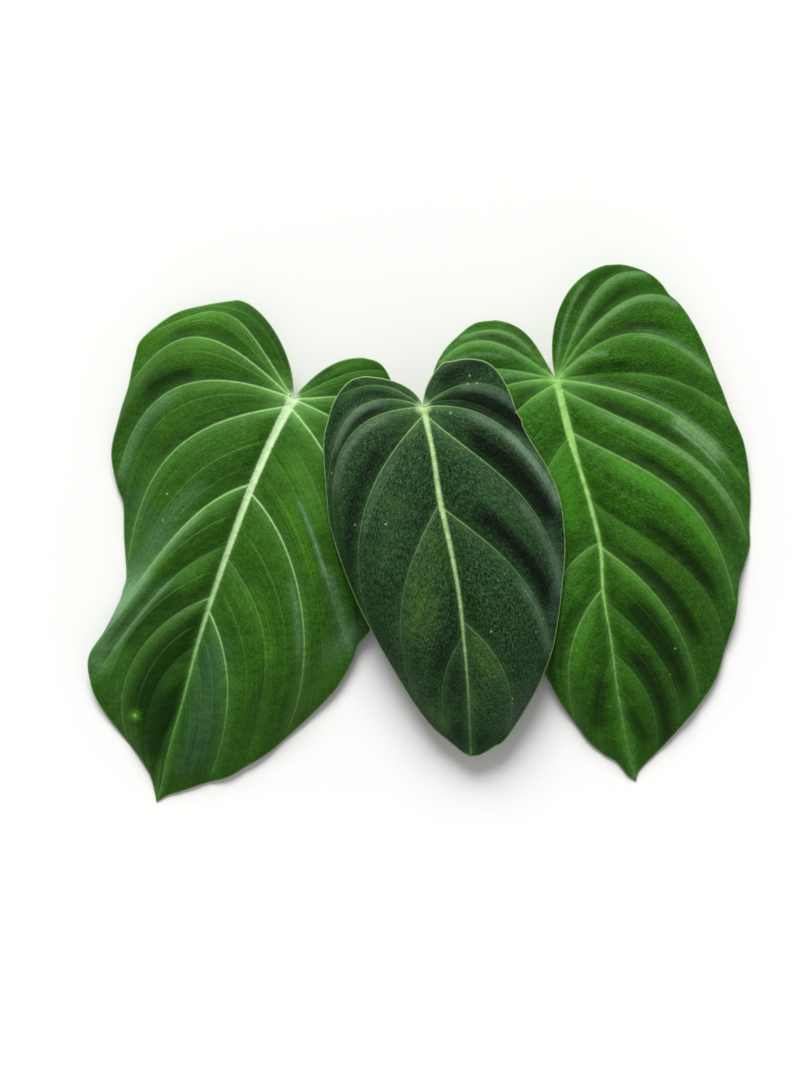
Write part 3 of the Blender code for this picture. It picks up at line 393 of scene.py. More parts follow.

# Widths and reaches in millimetres, the rest as shares. "glow" is the paler strip beside a vein,
# "halo" the paler ground round the hub, and "lit" and "shaded" are the painted light and painted
# shade of the strips past and before a vein.
# "swell" is the depth of the bump in metres.
LOOKS = {
    "leaf_left": {"slot": "leaf_mid_green", "primary_width": (1.5, 0.6), "faint_width": (0.8, 0.4),
                  "groove_reach": 1.7, "vein": 0.95, "faint": 0.50, "glow": 0.28, "glow_reach": 4.0,
                  "halo": 0.34, "rib_fade": 0.85, "lit": 0.40, "shaded": 0.40, "streak": 0.20,
                  "speckle": 0.55, "points": 0.10, "margin": 0.35, "swell": 0.0015, "roughness": 0.58,
                  "sheen": 0.04},
    "leaf_middle": {"slot": "leaf_dark_green", "primary_width": (1.0, 0.5), "faint_width": (0.6, 0.4),
                    "groove_reach": 1.6, "vein": 0.90, "faint": 0.35, "glow": 0.22, "glow_reach": 3.5,
                    "halo": 0.10, "rib_fade": 1.4, "lit": 0.35, "shaded": 0.45, "streak": 0.30,
                    "speckle": 1.70, "points": 0.42, "margin": 0.70, "swell": 0.0020, "roughness": 0.60,
                    "sheen": 0.03},
    "leaf_right": {"slot": "leaf_bright_green", "primary_width": (1.5, 0.8), "faint_width": (0.8, 0.5),
                   "groove_reach": 1.9, "vein": 0.78, "faint": 0.35, "glow": 0.42, "glow_reach": 4.0,
                   "halo": 0.25, "rib_fade": 1.3, "lit": 0.45, "shaded": 0.50, "streak": 0.18,
                   "speckle": 0.80, "points": 0.16, "margin": 0.30, "swell": 0.0018, "roughness": 0.58,
                   "sheen": 0.04},
}

# colours as hex codes, made linear for the panel's defaults
UPPER_COLOURS = {
    "leaf_left": {"body": "2b580c", "shade": "133304", "light": "437720", "rib": "c4e0ae", "vein": "a6d489",
                  "vein_end": "6fa854", "warm": "4f8a12", "bloom": "7aa37c", "haze": "325238"},
    "leaf_middle": {"body": "213f1e", "shade": "061206", "light": "34592c", "rib": "b4d894", "vein": "9cc07e",
                    "vein_end": "5c8a50", "warm": "4c7020", "bloom": "6c8670", "haze": "46584c"},
    "leaf_right": {"body": "275704", "shade": "112b02", "light": "3c7c15", "rib": "97ca6e", "vein": "8cc068",
                   "vein_end": "639c46", "warm": "3f6d10", "bloom": "86ae7c", "haze": "3f5f45"},
}
OTHER_COLOURS = {"under": "7a9c66", "under_vein": "bcd49c", "stalk": "5f8a3c", "stalk_line": "b7cf93",
                 "stalk_warm": "7a8f3a", "stalk_foot": "8a5a48", "stem": "6f7440", "stem_scar": "a8946a",
                 "cut": "d8d2a4", "cut_strand": "b49a68", "root": "a88a62", "root_tip": "d9c9a0",
                 "speck": "6a5a34"}


def linear(code):
    """Linear colour from a six-figure hex code such as 3f6d26."""
    parts = np.array([int(code[k:k + 2], 16) for k in (0, 2, 4)]) / 255
    return tuple(np.where(parts <= 0.04045, parts / 12.92, ((parts + 0.055) / 1.055)**2.4).tolist())


def rgba(colour):
    """A colour with its fourth value, as sockets take it."""
    return (*colour, 1)


def smooth_curve(knots, values, at):
    """A cubic through values at uneven knots; each slope is the weighted mean of its two chords."""
    k = np.asarray(knots, float)
    p = np.asarray(values, float).reshape(len(k), -1)
    step = np.diff(k)[:, None]
    chord = np.diff(p, axis=0) / step
    slope = np.vstack([chord[:1], (chord[:-1] * step[1:] + chord[1:] * step[:-1]) / (step[1:] + step[:-1]),
                       chord[-1:]])
    at = np.clip(np.asarray(at, float), k[0], k[-1])
    i = np.clip(np.searchsorted(k, at, side="right") - 1, 0, len(k) - 2)
    h = step[i]
    t = (at[:, None] - k[i][:, None]) / h
    return ((2 * t**3 - 3 * t**2 + 1) * p[i] + (t**3 - 2 * t**2 + t) * h * slope[i]
            + (3 * t**2 - 2 * t**3) * p[i + 1] + (t**3 - t**2) * h * slope[i + 1])


def length_knots(points):
    """Share of the whole length at each point of a polyline."""
    steps = np.linalg.norm(np.diff(np.asarray(points, float), axis=0), axis=1)
    run = np.concatenate([[0], np.cumsum(steps)])
    return run / run[-1]


def to_line(points, line):
    """Distance in plan from points to a polyline, and the share of its length at the nearest place.

    On each straight piece the nearest place is the foot of the perpendicular, kept between its ends.
    """
    line = np.asarray(line, float)[:, :2]
    run = length_knots(line)
    best = np.full(len(points), np.inf)
    where = np.zeros(len(points))
    for k in range(len(line) - 1):
        way = line[k + 1] - line[k]
        offset = points[:, :2] - line[k]
        t = np.clip(offset @ way / max(way @ way, 1e-12), 0, 1)
        distance = np.linalg.norm(offset - t[:, None] * way, axis=1)
        nearer = distance < best
        best[nearer] = distance[nearer]
        where[nearer] = run[k] + t[nearer] * (run[k + 1] - run[k])
    return best, where


def midrib_at(leaf, share):
    """x, y and underside height of the midrib at shares of its length."""
    rows = np.array(leaf["midrib"], float)
    return smooth_curve(length_knots(rows[:, :2]), rows, share)


def vein_curves(leaf, side, v, u):
    """Plan of a half: Bezier curves over u, with root, angles and pulls blended between veins."""
    veins = np.array(leaf[side]["veins"], float)
    margin = np.array(leaf[side]["margin"], float)
    number = np.arange(len(veins))
    share, leave, meet, pull_in, pull_out = (np.interp(v, number, veins[:, c]) for c in range(5))
    root = midrib_at(leaf, share)
    end = smooth_curve(margin[:, 0], margin[:, 1:], v)
    chord = np.linalg.norm(end[:, :2] - root[:, :2], axis=1)
    leave, meet = np.radians(leave), np.radians(meet)
    first = root[:, :2] + (chord * pull_in)[:, None] * np.stack([np.cos(leave), np.sin(leave)], axis=1)
    second = end[:, :2] - (chord * pull_out)[:, None] * np.stack([np.cos(meet), np.sin(meet)], axis=1)
    t = np.asarray(u, float)[None, :, None]
    plan = ((1 - t)**3 * root[:, None, :2] + 3 * t * (1 - t)**2 * first[:, None]
            + 3 * t**2 * (1 - t) * second[:, None] + t**3 * end[:, None, :2])
    return plan, root[:, 2], end[:, 2], chord, share


def half_heights(leaf, side, v, u):
    """Plan, underside height and share of the midrib over a half, on vein lines v and shares u.

    As in the solid, the height runs from the midrib to the margin with a droop and a crown, and
    between two veins a bulge of a rounded sine is added, whose height follows their distance. The
    bulges are lower near the tip, where the photo shows none.
    """
    plan, root_z, end_z, chord, share = vein_curves(leaf, side, v, u)
    last = len(leaf[side]["veins"]) - 1
    low = np.clip(np.floor(v + 1e-9), 0, last - 1)
    near = vein_curves(leaf, side, low, u)[0]
    far = vein_curves(leaf, side, low + 1, u)[0]
    gap = np.linalg.norm(far - near, axis=2)
    part = np.clip(v - low, 0, 1)[:, None]
    t = np.asarray(u, float)[None, :]
    height = root_z[:, None] + (end_z - root_z)[:, None] * t**DROOP_POWER
    height = height + CROWN * chord[:, None] * np.sin(np.pi * t)
    rise = 1 - np.exp(-(t * chord[:, None] / BULGE_START)**2)
    puff = np.minimum(BULGE * gap, BULGE_MAX) * np.sin(np.pi * part)**0.8
    calm = np.clip((share - CALM_START) / CALM_RUN, 0, 1)[:, None]
    puff = puff * (1 - BULGE_FADE * t**3) * (1 - CALMED * calm**2 * (3 - 2 * calm))
    height = height + puff * rise
    return plan, height, np.repeat(share[:, None], len(u), axis=1)


def filled(marks, parts):
    """Marks in order, with the given number of even steps from each to the next."""
    runs = [np.linspace(a, b, n, endpoint=False) for a, b, n in zip(marks, marks[1:], parts)]
    return np.concatenate([*runs, marks[-1:]])


def grid_lines(leaf, step):
    """Vein lines of both halves that meet each other on the midrib, the faint veins among them.

    The lines that start in the hub come first. The others start at shares of the midrib that both
    halves use, so that the halves share the midrib's points.
    """
    roots = {side: np.array(leaf[side]["veins"], float)[:, 0] for side in ("west", "east")}
    fan = {side: int(np.sum(roots[side] == 0)) - 1 for side in roots}
    faint = {side: np.array([row[0] for row in leaf[side]["faint"]]) for side in roots}

    def line_of(side, share):
        return np.interp(share, roots[side][fan[side]:], np.arange(fan[side], len(roots[side])))

    def share_of(side, v):
        return np.interp(v, np.arange(len(roots[side])), roots[side])

    marks = [[0.0]]
    for side in roots:
        marks += [roots[side], share_of(side, faint[side][faint[side] > fan[side]])]
    marks = np.unique(np.round(np.concatenate(marks), 9))
    widest = np.max([np.diff(line_of(side, marks)) for side in roots], axis=0)
    shares = filled(marks, np.ceil(widest / step - 1e-6).astype(int).clip(1))
    lines = {}
    for side in roots:
        start = np.unique(np.concatenate([np.arange(fan[side] + 1), faint[side][faint[side] < fan[side]]]))
        hub_lines = filled(start, np.ceil(np.diff(start) / step - 1e-6).astype(int))
        lines[side] = (np.concatenate([hub_lines, line_of(side, shares[1:])]), len(hub_lines) - 1)
    return shares, lines


def line_points(leaf, side, number, start, stop):
    """Plan of one vein line between two shares across."""
    return vein_curves(leaf, side, np.array([number], float), np.linspace(start, stop, 60))[0][0]


def vein_facts(leaf, side, v, u, plan, rows, widths):
    """Distance, half width and strength of the nearest of the numbered veins, for each grid point.

    A row is a vein's number, the shares where it starts and ends, its two strengths and its width
    against the others. Width and strength run evenly along the vein.
    """
    points = plan.reshape(-1, 2)
    number_of = np.repeat(v, len(u))
    facts = np.tile(NO_VEIN, (len(points), 1))
    for number, start, stop, first, last, wide in rows:
        near = np.flatnonzero(np.abs(number_of - number) <= 1)
        distance, along = to_line(points[near], line_points(leaf, side, number, start, stop))
        half = (widths[0] + (widths[1] - widths[0]) * along) * wide / 2
        fade = (first + (last - first) * along) * np.clip((1 - along) / LINE_TAPER, LINE_END, 1)
        fade = fade * (np.clip(along / LINE_TAPER, 0, 1) if start > 0 else 1)
        closer = distance < facts[near, 0]
        facts[near[closer]] = np.stack([distance, half, fade], 1)[closer]
    return facts


def fold_tones(leaf, side, v, u, plan):
    """Lit and shaded strips of the quilted blade, painted into its colour, for each grid point.

    Past a vein the blade rises towards the light, and before the next it falls away. Each strip is
    a bell curve of the distance to its vein, as wide as a share of the panel, and as strong as the
    line and the share of it that runs across the light.
    """
    points = plan.reshape(-1, 2)
    number_of = np.repeat(v, len(u))
    across = np.tile(u, len(v))
    lit, shaded = np.zeros(len(points)), np.zeros(len(points))
    for number, start, first, last, _ in leaf[side]["lines"]:
        near = np.flatnonzero(np.abs(number_of - number) < 1)
        line = line_points(leaf, side, number, start, 1)
        distance, along = to_line(points[near], line)
        way = np.gradient(line, axis=0)
        slope = np.abs(way[:, 0]) / np.linalg.norm(way, axis=1)
        turned = np.interp(along, np.linspace(0, 1, len(line)), STRIP_ALONG + (1 - STRIP_ALONG) * slope)
        later = number_of[near] > number
        other = np.where(later, number + 1, number - 1)
        gap = np.zeros(len(near))
        for next_number in (number - 1, number + 1):
            chosen = other == next_number
            if chosen.any():
                gap[chosen] = to_line(points[near[chosen]], line_points(leaf, side, next_number, 0, 1))[0]
        reach = np.clip(STRIP_WIDTH * (gap + distance), *STRIP_REACH)
        body = turned * (first + (last - first) * along) * np.clip(across[near] / STRIP_ENDS[0], 0, 1)
        body = body * np.clip((1 - across[near]) / STRIP_ENDS[1], 0, 1)
        bell = body * np.exp(-(distance / reach)**2)
        lit[near] += np.where(later, bell, 0)
        shaded[near] += np.where(later, 0, bell)
    return lit, shaded


def soft_ends(along, first, last):
    """Strength along a band: one, with a smooth fall to nought at the chosen ends."""
    rise = np.clip(along / BAND_TAPER, 0, 1) if first else np.ones_like(along)
    fall = np.clip((1 - along) / BAND_TAPER, 0, 1) if last else 1
    least = np.minimum(rise, fall)
    return least**2 * (3 - 2 * least)


class Shell:
    """Faces of one mesh as they are made, with the place of each corner on the leaf and its finish."""

    def __init__(self):
        self.faces, self.corners, self.finish = [], [], []

    def add(self, faces, corners, finish):
        """Add alike faces; where a grid runs to a pole, its fourth corner goes."""
        if faces.shape[1] == 4:
            pole = (faces[:, 0] == faces[:, 3]) | (faces[:, 2] == faces[:, 3])
            self.add(faces[pole][:, :3], corners[pole][:, :3], finish)
            faces, corners = faces[~pole], corners[~pole]
        self.faces += faces.tolist()
        self.corners.append(corners.reshape(-1, 2))
        self.finish += [finish] * len(faces)


def edge_loop(full, spine):
    """Vertices round the blade, against the clock from the hub: down the west side, up the east side."""
    west, east = full["west"], full["east"]
    return np.concatenate([west[0, :-1], west[:-1, -1], [spine - 1], east[:-1, -1][::-1],
                           east[0, 1:-1][::-1]])


def blade_data(name, sizes):
    """Points, faces, corner places and point facts of one blade, in millimetres.

    The upper face is the solid's underside height plus its thickness, less a groove of a bell curve
    over each vein. The lower face lies under it by the thickness, plus a rib of a bell curve under
    each vein and a boss under the hub. Both draw together within a bell curve of the margin.
    """
    leaf, look = LEAVES[name], LOOKS[name]
    shares, lines = grid_lines(leaf, sizes.line_step)
    between = np.linspace(BY_MIDRIB[-1], BY_MARGIN[0], MIDDLE_COLUMNS)
    u = np.concatenate([BY_MIDRIB[:-1], between, BY_MARGIN[1:]])
    spine = len(shares)
    count = spine + sum((len(lines[side][0]) - 1) * (len(u) - 1) for side in lines)
    points = np.zeros((count, 3))
    share_of = np.zeros(count)
    primary, faint = np.tile(NO_VEIN, (count, 1)), np.tile(NO_VEIN, (count, 1))
    tint = np.zeros((count, len(TINTS)))
    full, place = {}, {}
    start = spine
    for side, shift in (("west", 0), ("east", 20)):
        v, fan = lines[side]
        plan, height, share = half_heights(leaf, side, v, u)
        size = (len(v) - 1) * (len(u) - 1)
        ids = np.empty((len(v), len(u)), int)
        ids[:-1, 1:] = start + np.arange(size).reshape(len(v) - 1, len(u) - 1)
        ids[:fan + 1, 0] = 0
        ids[fan:, 0] = np.arange(spine)
        ids[-1, :] = spine - 1
        start += size
        points[ids] = np.dstack([plan, height])
        share_of[ids] = share
        strong = [(row[0], row[1], 1, *row[2:]) for row in leaf[side]["lines"]]
        weak = [(*row, FAINT_END * row[3], 1) for row in leaf[side]["faint"]]
        for store, rows, key in ((primary, strong, "primary_width"), (faint, weak, "faint_width")):
            facts = vein_facts(leaf, side, v, u, plan, rows, look[key])
            nearer = facts[:, 0] < store[ids.ravel(), 0]
            store[ids.ravel()[nearer]] = facts[nearer]
        # painted light past each vein and painted shade before the next, for the quilting
        lit, shaded = fold_tones(leaf, side, v, u, plan)
        tint[ids.ravel(), TINTS.index("light")] = look["lit"] * lit
        tint[ids.ravel(), TINTS.index("dusk")] = look["shaded"] * shaded
        full[side] = ids
        place[side] = np.dstack(np.meshgrid(v + shift, u, indexing="ij"))

    loop = edge_loop(full, spine)
    edge = to_line(points, points[np.append(loop, loop[0])])[0]
    rib_line = midrib_at(leaf, np.linspace(0, 1, 80))
    rib_mm, rib_share = to_line(points, rib_line)
    rib_half = smooth_curve(*zip(*leaf["ribs"]), rib_share)[:, 0] / 2
    # bands and patches paint sheen, shade, light and a grey reflection onto the blade, besides its warmer
    # greens
    for kind, reach, strength, side, number, start, stop in leaf["bands"]:
        distance, along = to_line(points, line_points(leaf, side, number, start, stop))
        fade = soft_ends(along, start > BAND_WHOLE[0], stop < BAND_WHOLE[1])
        tint[:, TINTS.index(kind)] += strength * fade * np.exp(-(distance / reach)**2)
    for kind, reach, strength, line in leaf["patches"]:
        tint[:, TINTS.index(kind)] += strength * np.exp(-(to_line(points, line)[0] / reach)**2)
    tint = np.clip(tint, 0, 1)

    shell = Shell()
    tops = []
    for side in ("west", "east"):
        ids, at = full[side], place[side]
        quad = [grid[:-1, :-1].reshape(-1, *grid.shape[2:]) for grid in (ids, at)]
        quads = np.stack([quad[0], ids[:-1, 1:].ravel(), ids[1:, 1:].ravel(), ids[1:, :-1].ravel()], 1)
        corner = np.stack([quad[1], at[:-1, 1:].reshape(-1, 2), at[1:, 1:].reshape(-1, 2),
                           at[1:, :-1].reshape(-1, 2)], 1)
        if side == "east":
            quads, corner = quads[:, TURNED], corner[:, TURNED]
        tops.append((quads, corner))

    across = np.zeros_like(points)
    for quads, _ in tops:
        one = np.cross(points[quads[:, 2]] - points[quads[:, 0]], points[quads[:, 3]] - points[quads[:, 1]])
        for k in range(4):
            np.add.at(across, quads[:, k], one)
    slant = 1 / np.clip(across[:, 2] / np.linalg.norm(across, axis=1), STEEPEST, 1)

    groove = primary[:, 2] * np.exp(-(primary[:, 0] / look["groove_reach"])**2)
    groove += FAINT_GROOVE * faint[:, 2] * np.exp(-(faint[:, 0] / FAINT_GROOVE_REACH)**2)
    groove += MIDRIB_GROOVE * (1 - rib_share) * np.exp(-(rib_mm / (rib_half + 0.4))**2)
    groove *= sizes.groove_depth / MM
    thin = sizes.edge_thinning / MM * np.exp(-(edge / EDGE_REACH)**2)
    rib = MIDRIB_DEPTH * (1 - share_of)**RIB_TAPER * np.exp(-(rib_mm / (rib_half + RIB_REACH))**2)
    rib += VEIN_DEPTH * (1 - share_of) * primary[:, 2] * np.exp(-(primary[:, 0] / RIB_REACH)**2)
    rib += FAINT_RIB * VEIN_DEPTH * faint[:, 2] * np.exp(-(faint[:, 0] / FAINT_RIB_REACH)**2)
    reach = np.linalg.norm(points[:, :2], axis=1)
    boss = HUB_BOSS[0] * np.exp(-(reach / HUB_BOSS[1])**2)
    upper = points + (*leaf["hub"], 0)
    upper[:, 2] += BLADE_THICKNESS * slant - groove - THINNED_ABOVE * thin
    lower = upper.copy()
    lower[:, 2] -= (BLADE_THICKNESS + np.maximum(rib, boss)) * slant - groove - thin
    lower[:, 2] = np.maximum(lower[:, 2], 0)
    upper[:, 2] = np.maximum(upper[:, 2], lower[:, 2] + THINNEST)

    for quads, corner in tops:
        shell.add(quads, corner, 0)
        shell.add(quads[:, TURNED] + count, corner[:, TURNED], 1)
    along = np.roll(upper[loop], -1, axis=0) - np.roll(upper[loop], 1, axis=0)
    outward = np.stack([along[:, 1], -along[:, 0]], 1)
    outward /= np.maximum(np.linalg.norm(outward, axis=1), 1e-9)[:, None]
    rim = (upper[loop] + lower[loop]) / 2
    rim[:, :2] += outward * sizes.rim_round / MM
    rim_ids = 2 * count + np.arange(len(loop))
    for high, low in ((loop, rim_ids), (rim_ids, loop + count)):
        wall = np.stack([high, low, np.roll(low, -1), np.roll(high, -1)], 1)
        shell.add(wall, np.zeros((len(wall), 4, 2)), 0)

    # the third number of "edge" carries the painted grey reflection; "tint" carries the warm tone, the
    # painted sheen and the painted shade, and "lift" the painted light
    facts = {
        "primary": primary,
        "faint": faint,
        "midrib": np.stack([rib_mm, rib_half, rib_share], 1),
        "edge": np.stack([edge, reach, tint[:, TINTS.index("haze")]], 1),
        "tint": tint[:, :3],
        "painted_light": np.tile(tint[:, [TINTS.index("light")]], 3),
    }
    facts = {key: np.concatenate([value, value, value[loop]]) for key, value in facts.items()}
    return np.concatenate([upper, lower, rim]), shell, facts


def write_mesh(name, points, faces, materials, finish=None):
    """A shaded mesh in metres from points in millimetres, with its materials."""
    mesh = bpy.data.meshes.new(name)
    mesh.from_pydata((points * MM).tolist(), [], faces)
    for mat in materials:
        mesh.materials.append(mat)
    if finish is not None:
        mesh.polygons.foreach_set("material_index", finish)
    mesh.shade_smooth()
    return mesh


def write_facts(mesh, facts):
    """Point attributes of three numbers each, from whole arrays."""
    for key, value in facts.items():
        attribute = mesh.attributes.new(key, "FLOAT_VECTOR", "POINT")
        attribute.data.foreach_set("vector", np.ascontiguousarray(value, np.float32).ravel())


def linked(name, data):
    """A new object in the scene."""
    obj = bpy.data.objects.new(name, data)
    bpy.context.scene.collection.objects.link(obj)
    return obj


def place_piece(name, mesh, node):
    """Show a mesh in place of a node, riding on the one body."""
    obj = linked(name, mesh)
    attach(obj, "root")
    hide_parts(node)
    return obj


def build_blade(name, sizes, materials):
    """Draw one blade and show it in place of its node."""
    points, shell, facts = blade_data(name, sizes)
    mesh = write_mesh(name, points, shell.faces, materials, shell.finish)
    lay = mesh.uv_layers.new(name="lay")
    lay.uv.foreach_set("vector", np.concatenate(shell.corners).astype(np.float32).ravel())
    write_facts(mesh, facts)
    return place_piece(name.replace("leaf", "blade"), mesh, name)


def frames_along(path):
    """Sideways and upward unit vectors at each point of a path, carried along it without a twist."""
    tangent = np.gradient(path, axis=0)
    tangent /= np.linalg.norm(tangent, axis=1)[:, None]
    aside = np.cross(tangent[0], (0, 0, 1))
    carried = []
    for way in tangent:
        aside = aside - way * aside.dot(way)
        aside = aside / np.linalg.norm(aside)
        carried.append(aside)
    carried = np.array(carried)
    return carried, np.cross(carried, tangent)


def tube(path, offsets):
    """Points and faces of a closed tube.

    Ring k is point k of the path plus its sideways and upward offsets. A fan closes each end.
    """
    aside, upward = frames_along(path)
    rings = path[:, None] + offsets[..., :1] * aside[:, None] + offsets[..., 1:] * upward[:, None]
    count, sides = rings.shape[:2]
    ids = np.arange(count * sides).reshape(count, sides)
    turned = np.roll(ids, -1, axis=1)
    quads = np.stack([ids[:-1], ids[1:], turned[1:], turned[:-1]], -1).reshape(-1, 4)
    foot, head = np.full(sides, count * sides), np.full(sides, count * sides + 1)
    fans = np.concatenate([np.stack([foot, ids[0], turned[0]], 1), np.stack([head, turned[-1], ids[-1]], 1)])
    return np.concatenate([rings.reshape(-1, 3), path[:1], path[-1:]]), quads.tolist() + fans.tolist()


def round_offsets(radius, sides):
    """Circles of the given radii, one for each ring."""
    angle = np.linspace(0, 2 * math.pi, sides, endpoint=False)
    return radius[:, None, None] * np.stack([np.cos(angle), np.sin(angle)], 1)[None]


def rhizome_point(share):
    """Point at a share of the rhizome's axis."""
    return smooth_curve(length_knots(RHIZOME_AXIS), RHIZOME_AXIS, np.array([share]))[0]


def collar_frame(stalk):
    """Start and direction of a stalk's collar on the rhizome's axis."""
    heading, rise = math.radians(stalk["heading"]), math.radians(stalk["rise"])
    way = np.array([math.cos(rise) * math.cos(heading), math.cos(rise) * math.sin(heading), math.sin(rise)])
    return rhizome_point(stalk["share"]), way


def build_stalk(name, sizes, materials):
    """A stalk with a flat front between two ridges, fine ribs, and a knuckle under the blade.

    The radius runs evenly between its two ends, times the flat (less by the squared sine of the
    angle), the ridges (bell curves beside the flat), the knuckle and foot (bell curves along the
    stalk) and the ribs (a cosine round the stalk).
    """
    stalk = PETIOLES[name]
    start, way = collar_frame(stalk)
    rib_start = np.array(stalk["leaf"]["midrib"][1][:2], float)
    hub = np.array(stalk["leaf"]["hub"]) + HUB_INSET * rib_start / np.linalg.norm(rib_start)
    seat = sizes.seat_depth / MM
    top = np.array([*hub, stalk["leaf"]["midrib"][0][2] - STALK_TOP + BLADE_THICKNESS + seat])
    base = start + way * (COLLAR_REACH - seat)
    bends = [base, base + 6 * way, *stalk["points"], top - (0, 0, 5), top]
    path = smooth_curve(length_knots(bends), bends, np.linspace(0, 1, STALK_RINGS))
    share = length_knots(path)[:, None]
    angle = np.linspace(0, 2 * math.pi, STALK_SIDES, endpoint=False)[None]
    flat = 1 - FRONT_FLAT * np.clip(np.sin(angle), 0, 1)**2
    off_ridge = np.abs(angle - math.pi / 2) - RIDGE_ANGLE
    ridge = 1 + RIDGE_SWELL * np.exp(-(off_ridge / RIDGE_WIDTH)**2)
    swell = 1 + KNUCKLE_SWELL * np.exp(-((share - KNUCKLE_AT) / KNUCKLE_LENGTH)**2)
    swell = swell + FOOT_SWELL * np.exp(-(share / FOOT_LENGTH)**2)
    radius = (stalk["radii"][0] + (stalk["radii"][1] - stalk["radii"][0]) * share) * ridge * swell
    radius = radius + sizes.rib_height / MM * np.cos(STALK_RIBS * angle + 1.5 * np.sin(9 * share))
    offsets = np.stack([radius * np.cos(angle), radius * flat * np.sin(angle)], -1)
    points, faces = tube(path, offsets)
    points[:, 2] = np.maximum(points[:, 2], 0)
    length = np.linalg.norm(np.diff(path, axis=0), axis=1).sum()
    ring = np.repeat(share * length, STALK_SIDES, axis=1).ravel()
    turn = np.repeat(angle, STALK_RINGS, axis=0).ravel()
    edge_line = np.exp(-(np.repeat(off_ridge, STALK_RINGS, axis=0).ravel() / RIDGE_LINE_WIDTH)**2)
    grain = np.stack([5 * np.cos(turn), 5 * np.sin(turn), ring], 1)
    marks = np.stack([edge_line, ring / length, np.zeros_like(ring)], 1)
    ends = ((0, 0, 0), (0, 0, length))
    mesh = write_mesh(name, points, faces, materials)
    write_facts(mesh, {"grain": np.concatenate([grain, ends]),
                       "marks": np.concatenate([marks, ((0, 0, 0), (0, 1, 0))])})
    return place_piece(name.replace("petiole", "stalk"), mesh, name)


def gathered(shells):
    """Points and faces of several shells, kept above the ground, as one."""
    points, faces, shift = [], [], 0
    for shell_points, shell_faces in shells:
        points.append(shell_points)
        faces += [[k + shift for k in face] for face in shell_faces]
        shift += len(shell_points)
    points = np.concatenate(points)
    points[:, 2] = np.maximum(points[:, 2], 0)
    return points, faces


def fused(name, shells, voxel, rounds):
    """One closed skin round several closed shells, in metres, smoothed a little."""
    mesh = write_mesh(name, *gathered(shells), [])
    obj = linked(name, mesh)
    remesh = obj.modifiers.new("skin", "REMESH")
    remesh.mode = "VOXEL"
    remesh.voxel_size = voxel
    soften = obj.modifiers.new("soften", "SMOOTH")
    soften.factor = 0.5
    soften.iterations = rounds
    depsgraph = bpy.context.evaluated_depsgraph_get()
    skin = bpy.data.meshes.new_from_object(obj.evaluated_get(depsgraph))
    bpy.data.objects.remove(obj, do_unlink=True)
    bpy.data.meshes.remove(mesh)
    return skin


def build_rhizome(sizes, materials):
    """The ringed stem with its collars and bud in one skin.

    The stem's radius is its mean plus a bell curve at each node, whose place wanders round the stem,
    less a narrower one after it, with faint flutes between, times a quarter of an ellipse towards the
    bud.
    """
    knots = length_knots(RHIZOME_AXIS)
    length = np.linalg.norm(np.diff(RHIZOME_AXIS, axis=0), axis=1).sum()
    share = np.linspace(0, 1, STEM_RINGS)
    path = smooth_curve(knots, RHIZOME_AXIS, share)
    angle = np.linspace(0, 2 * math.pi, STEM_SIDES, endpoint=False)[None]
    run = share[:, None] * length / RING_SPACING
    node = np.round(run)
    run = run + RING_WANDER[0] * np.sin(angle + 1.3 * node) + RING_WANDER[1] * np.sin(3 * angle + 2.1 * node)
    off = run - np.round(run)
    valley = VALLEY_DEPTH * np.exp(-((off - VALLEY_AFTER) * VALLEY_SHARPNESS)**2)
    ring = RING_HEIGHT * (np.exp(-(off * RING_SHARPNESS)**2) - valley)
    ring = ring + FLUTE_HEIGHT * np.sin(4 * angle + 5 * run) * (1 - np.exp(-(off * 4)**2))
    bud = np.clip((share - BUD_START) / (1 - BUD_START), 0, 1)[:, None]
    taper = np.sqrt(np.maximum(BUD_TIP, 1 - bud**2))
    radius = RHIZOME_RADIUS * (STEM_BODY + ring) * taper
    shells = [tube(path, np.stack([radius * np.cos(angle), radius * np.sin(angle)], -1))]
    for stalk in PETIOLES.values():
        start, way = collar_frame(stalk)
        reach = np.linspace(COLLAR_START, 1, 60)
        collar = np.interp(reach, (COLLAR_START, 1), COLLAR_RADII)
        collar = collar + LIP_HEIGHT * np.exp(-((reach - LIP_AT) / LIP_LENGTH)**2)
        shells.append(tube(start + reach[:, None] * COLLAR_REACH * way, round_offsets(collar, 64)))
    mesh = fused("rhizome", shells, sizes.voxel, sizes.smoothing)
    points = np.empty(len(mesh.vertices) * 3, np.float32)
    mesh.vertices.foreach_get("co", points)
    points = points.reshape(-1, 3)
    points[:, 2] = np.maximum(points[:, 2], 0)
    mesh.vertices.foreach_set("co", points.ravel())
    aside, along = to_line(points / MM, path)
    write_facts(mesh, {"grain": np.stack([aside, along * length, along], 1)})
    for mat in materials:
        mesh.materials.append(mat)
    mesh.shade_smooth()
    mesh.update()
    return place_piece("rhizome_stem", mesh, "rhizome")


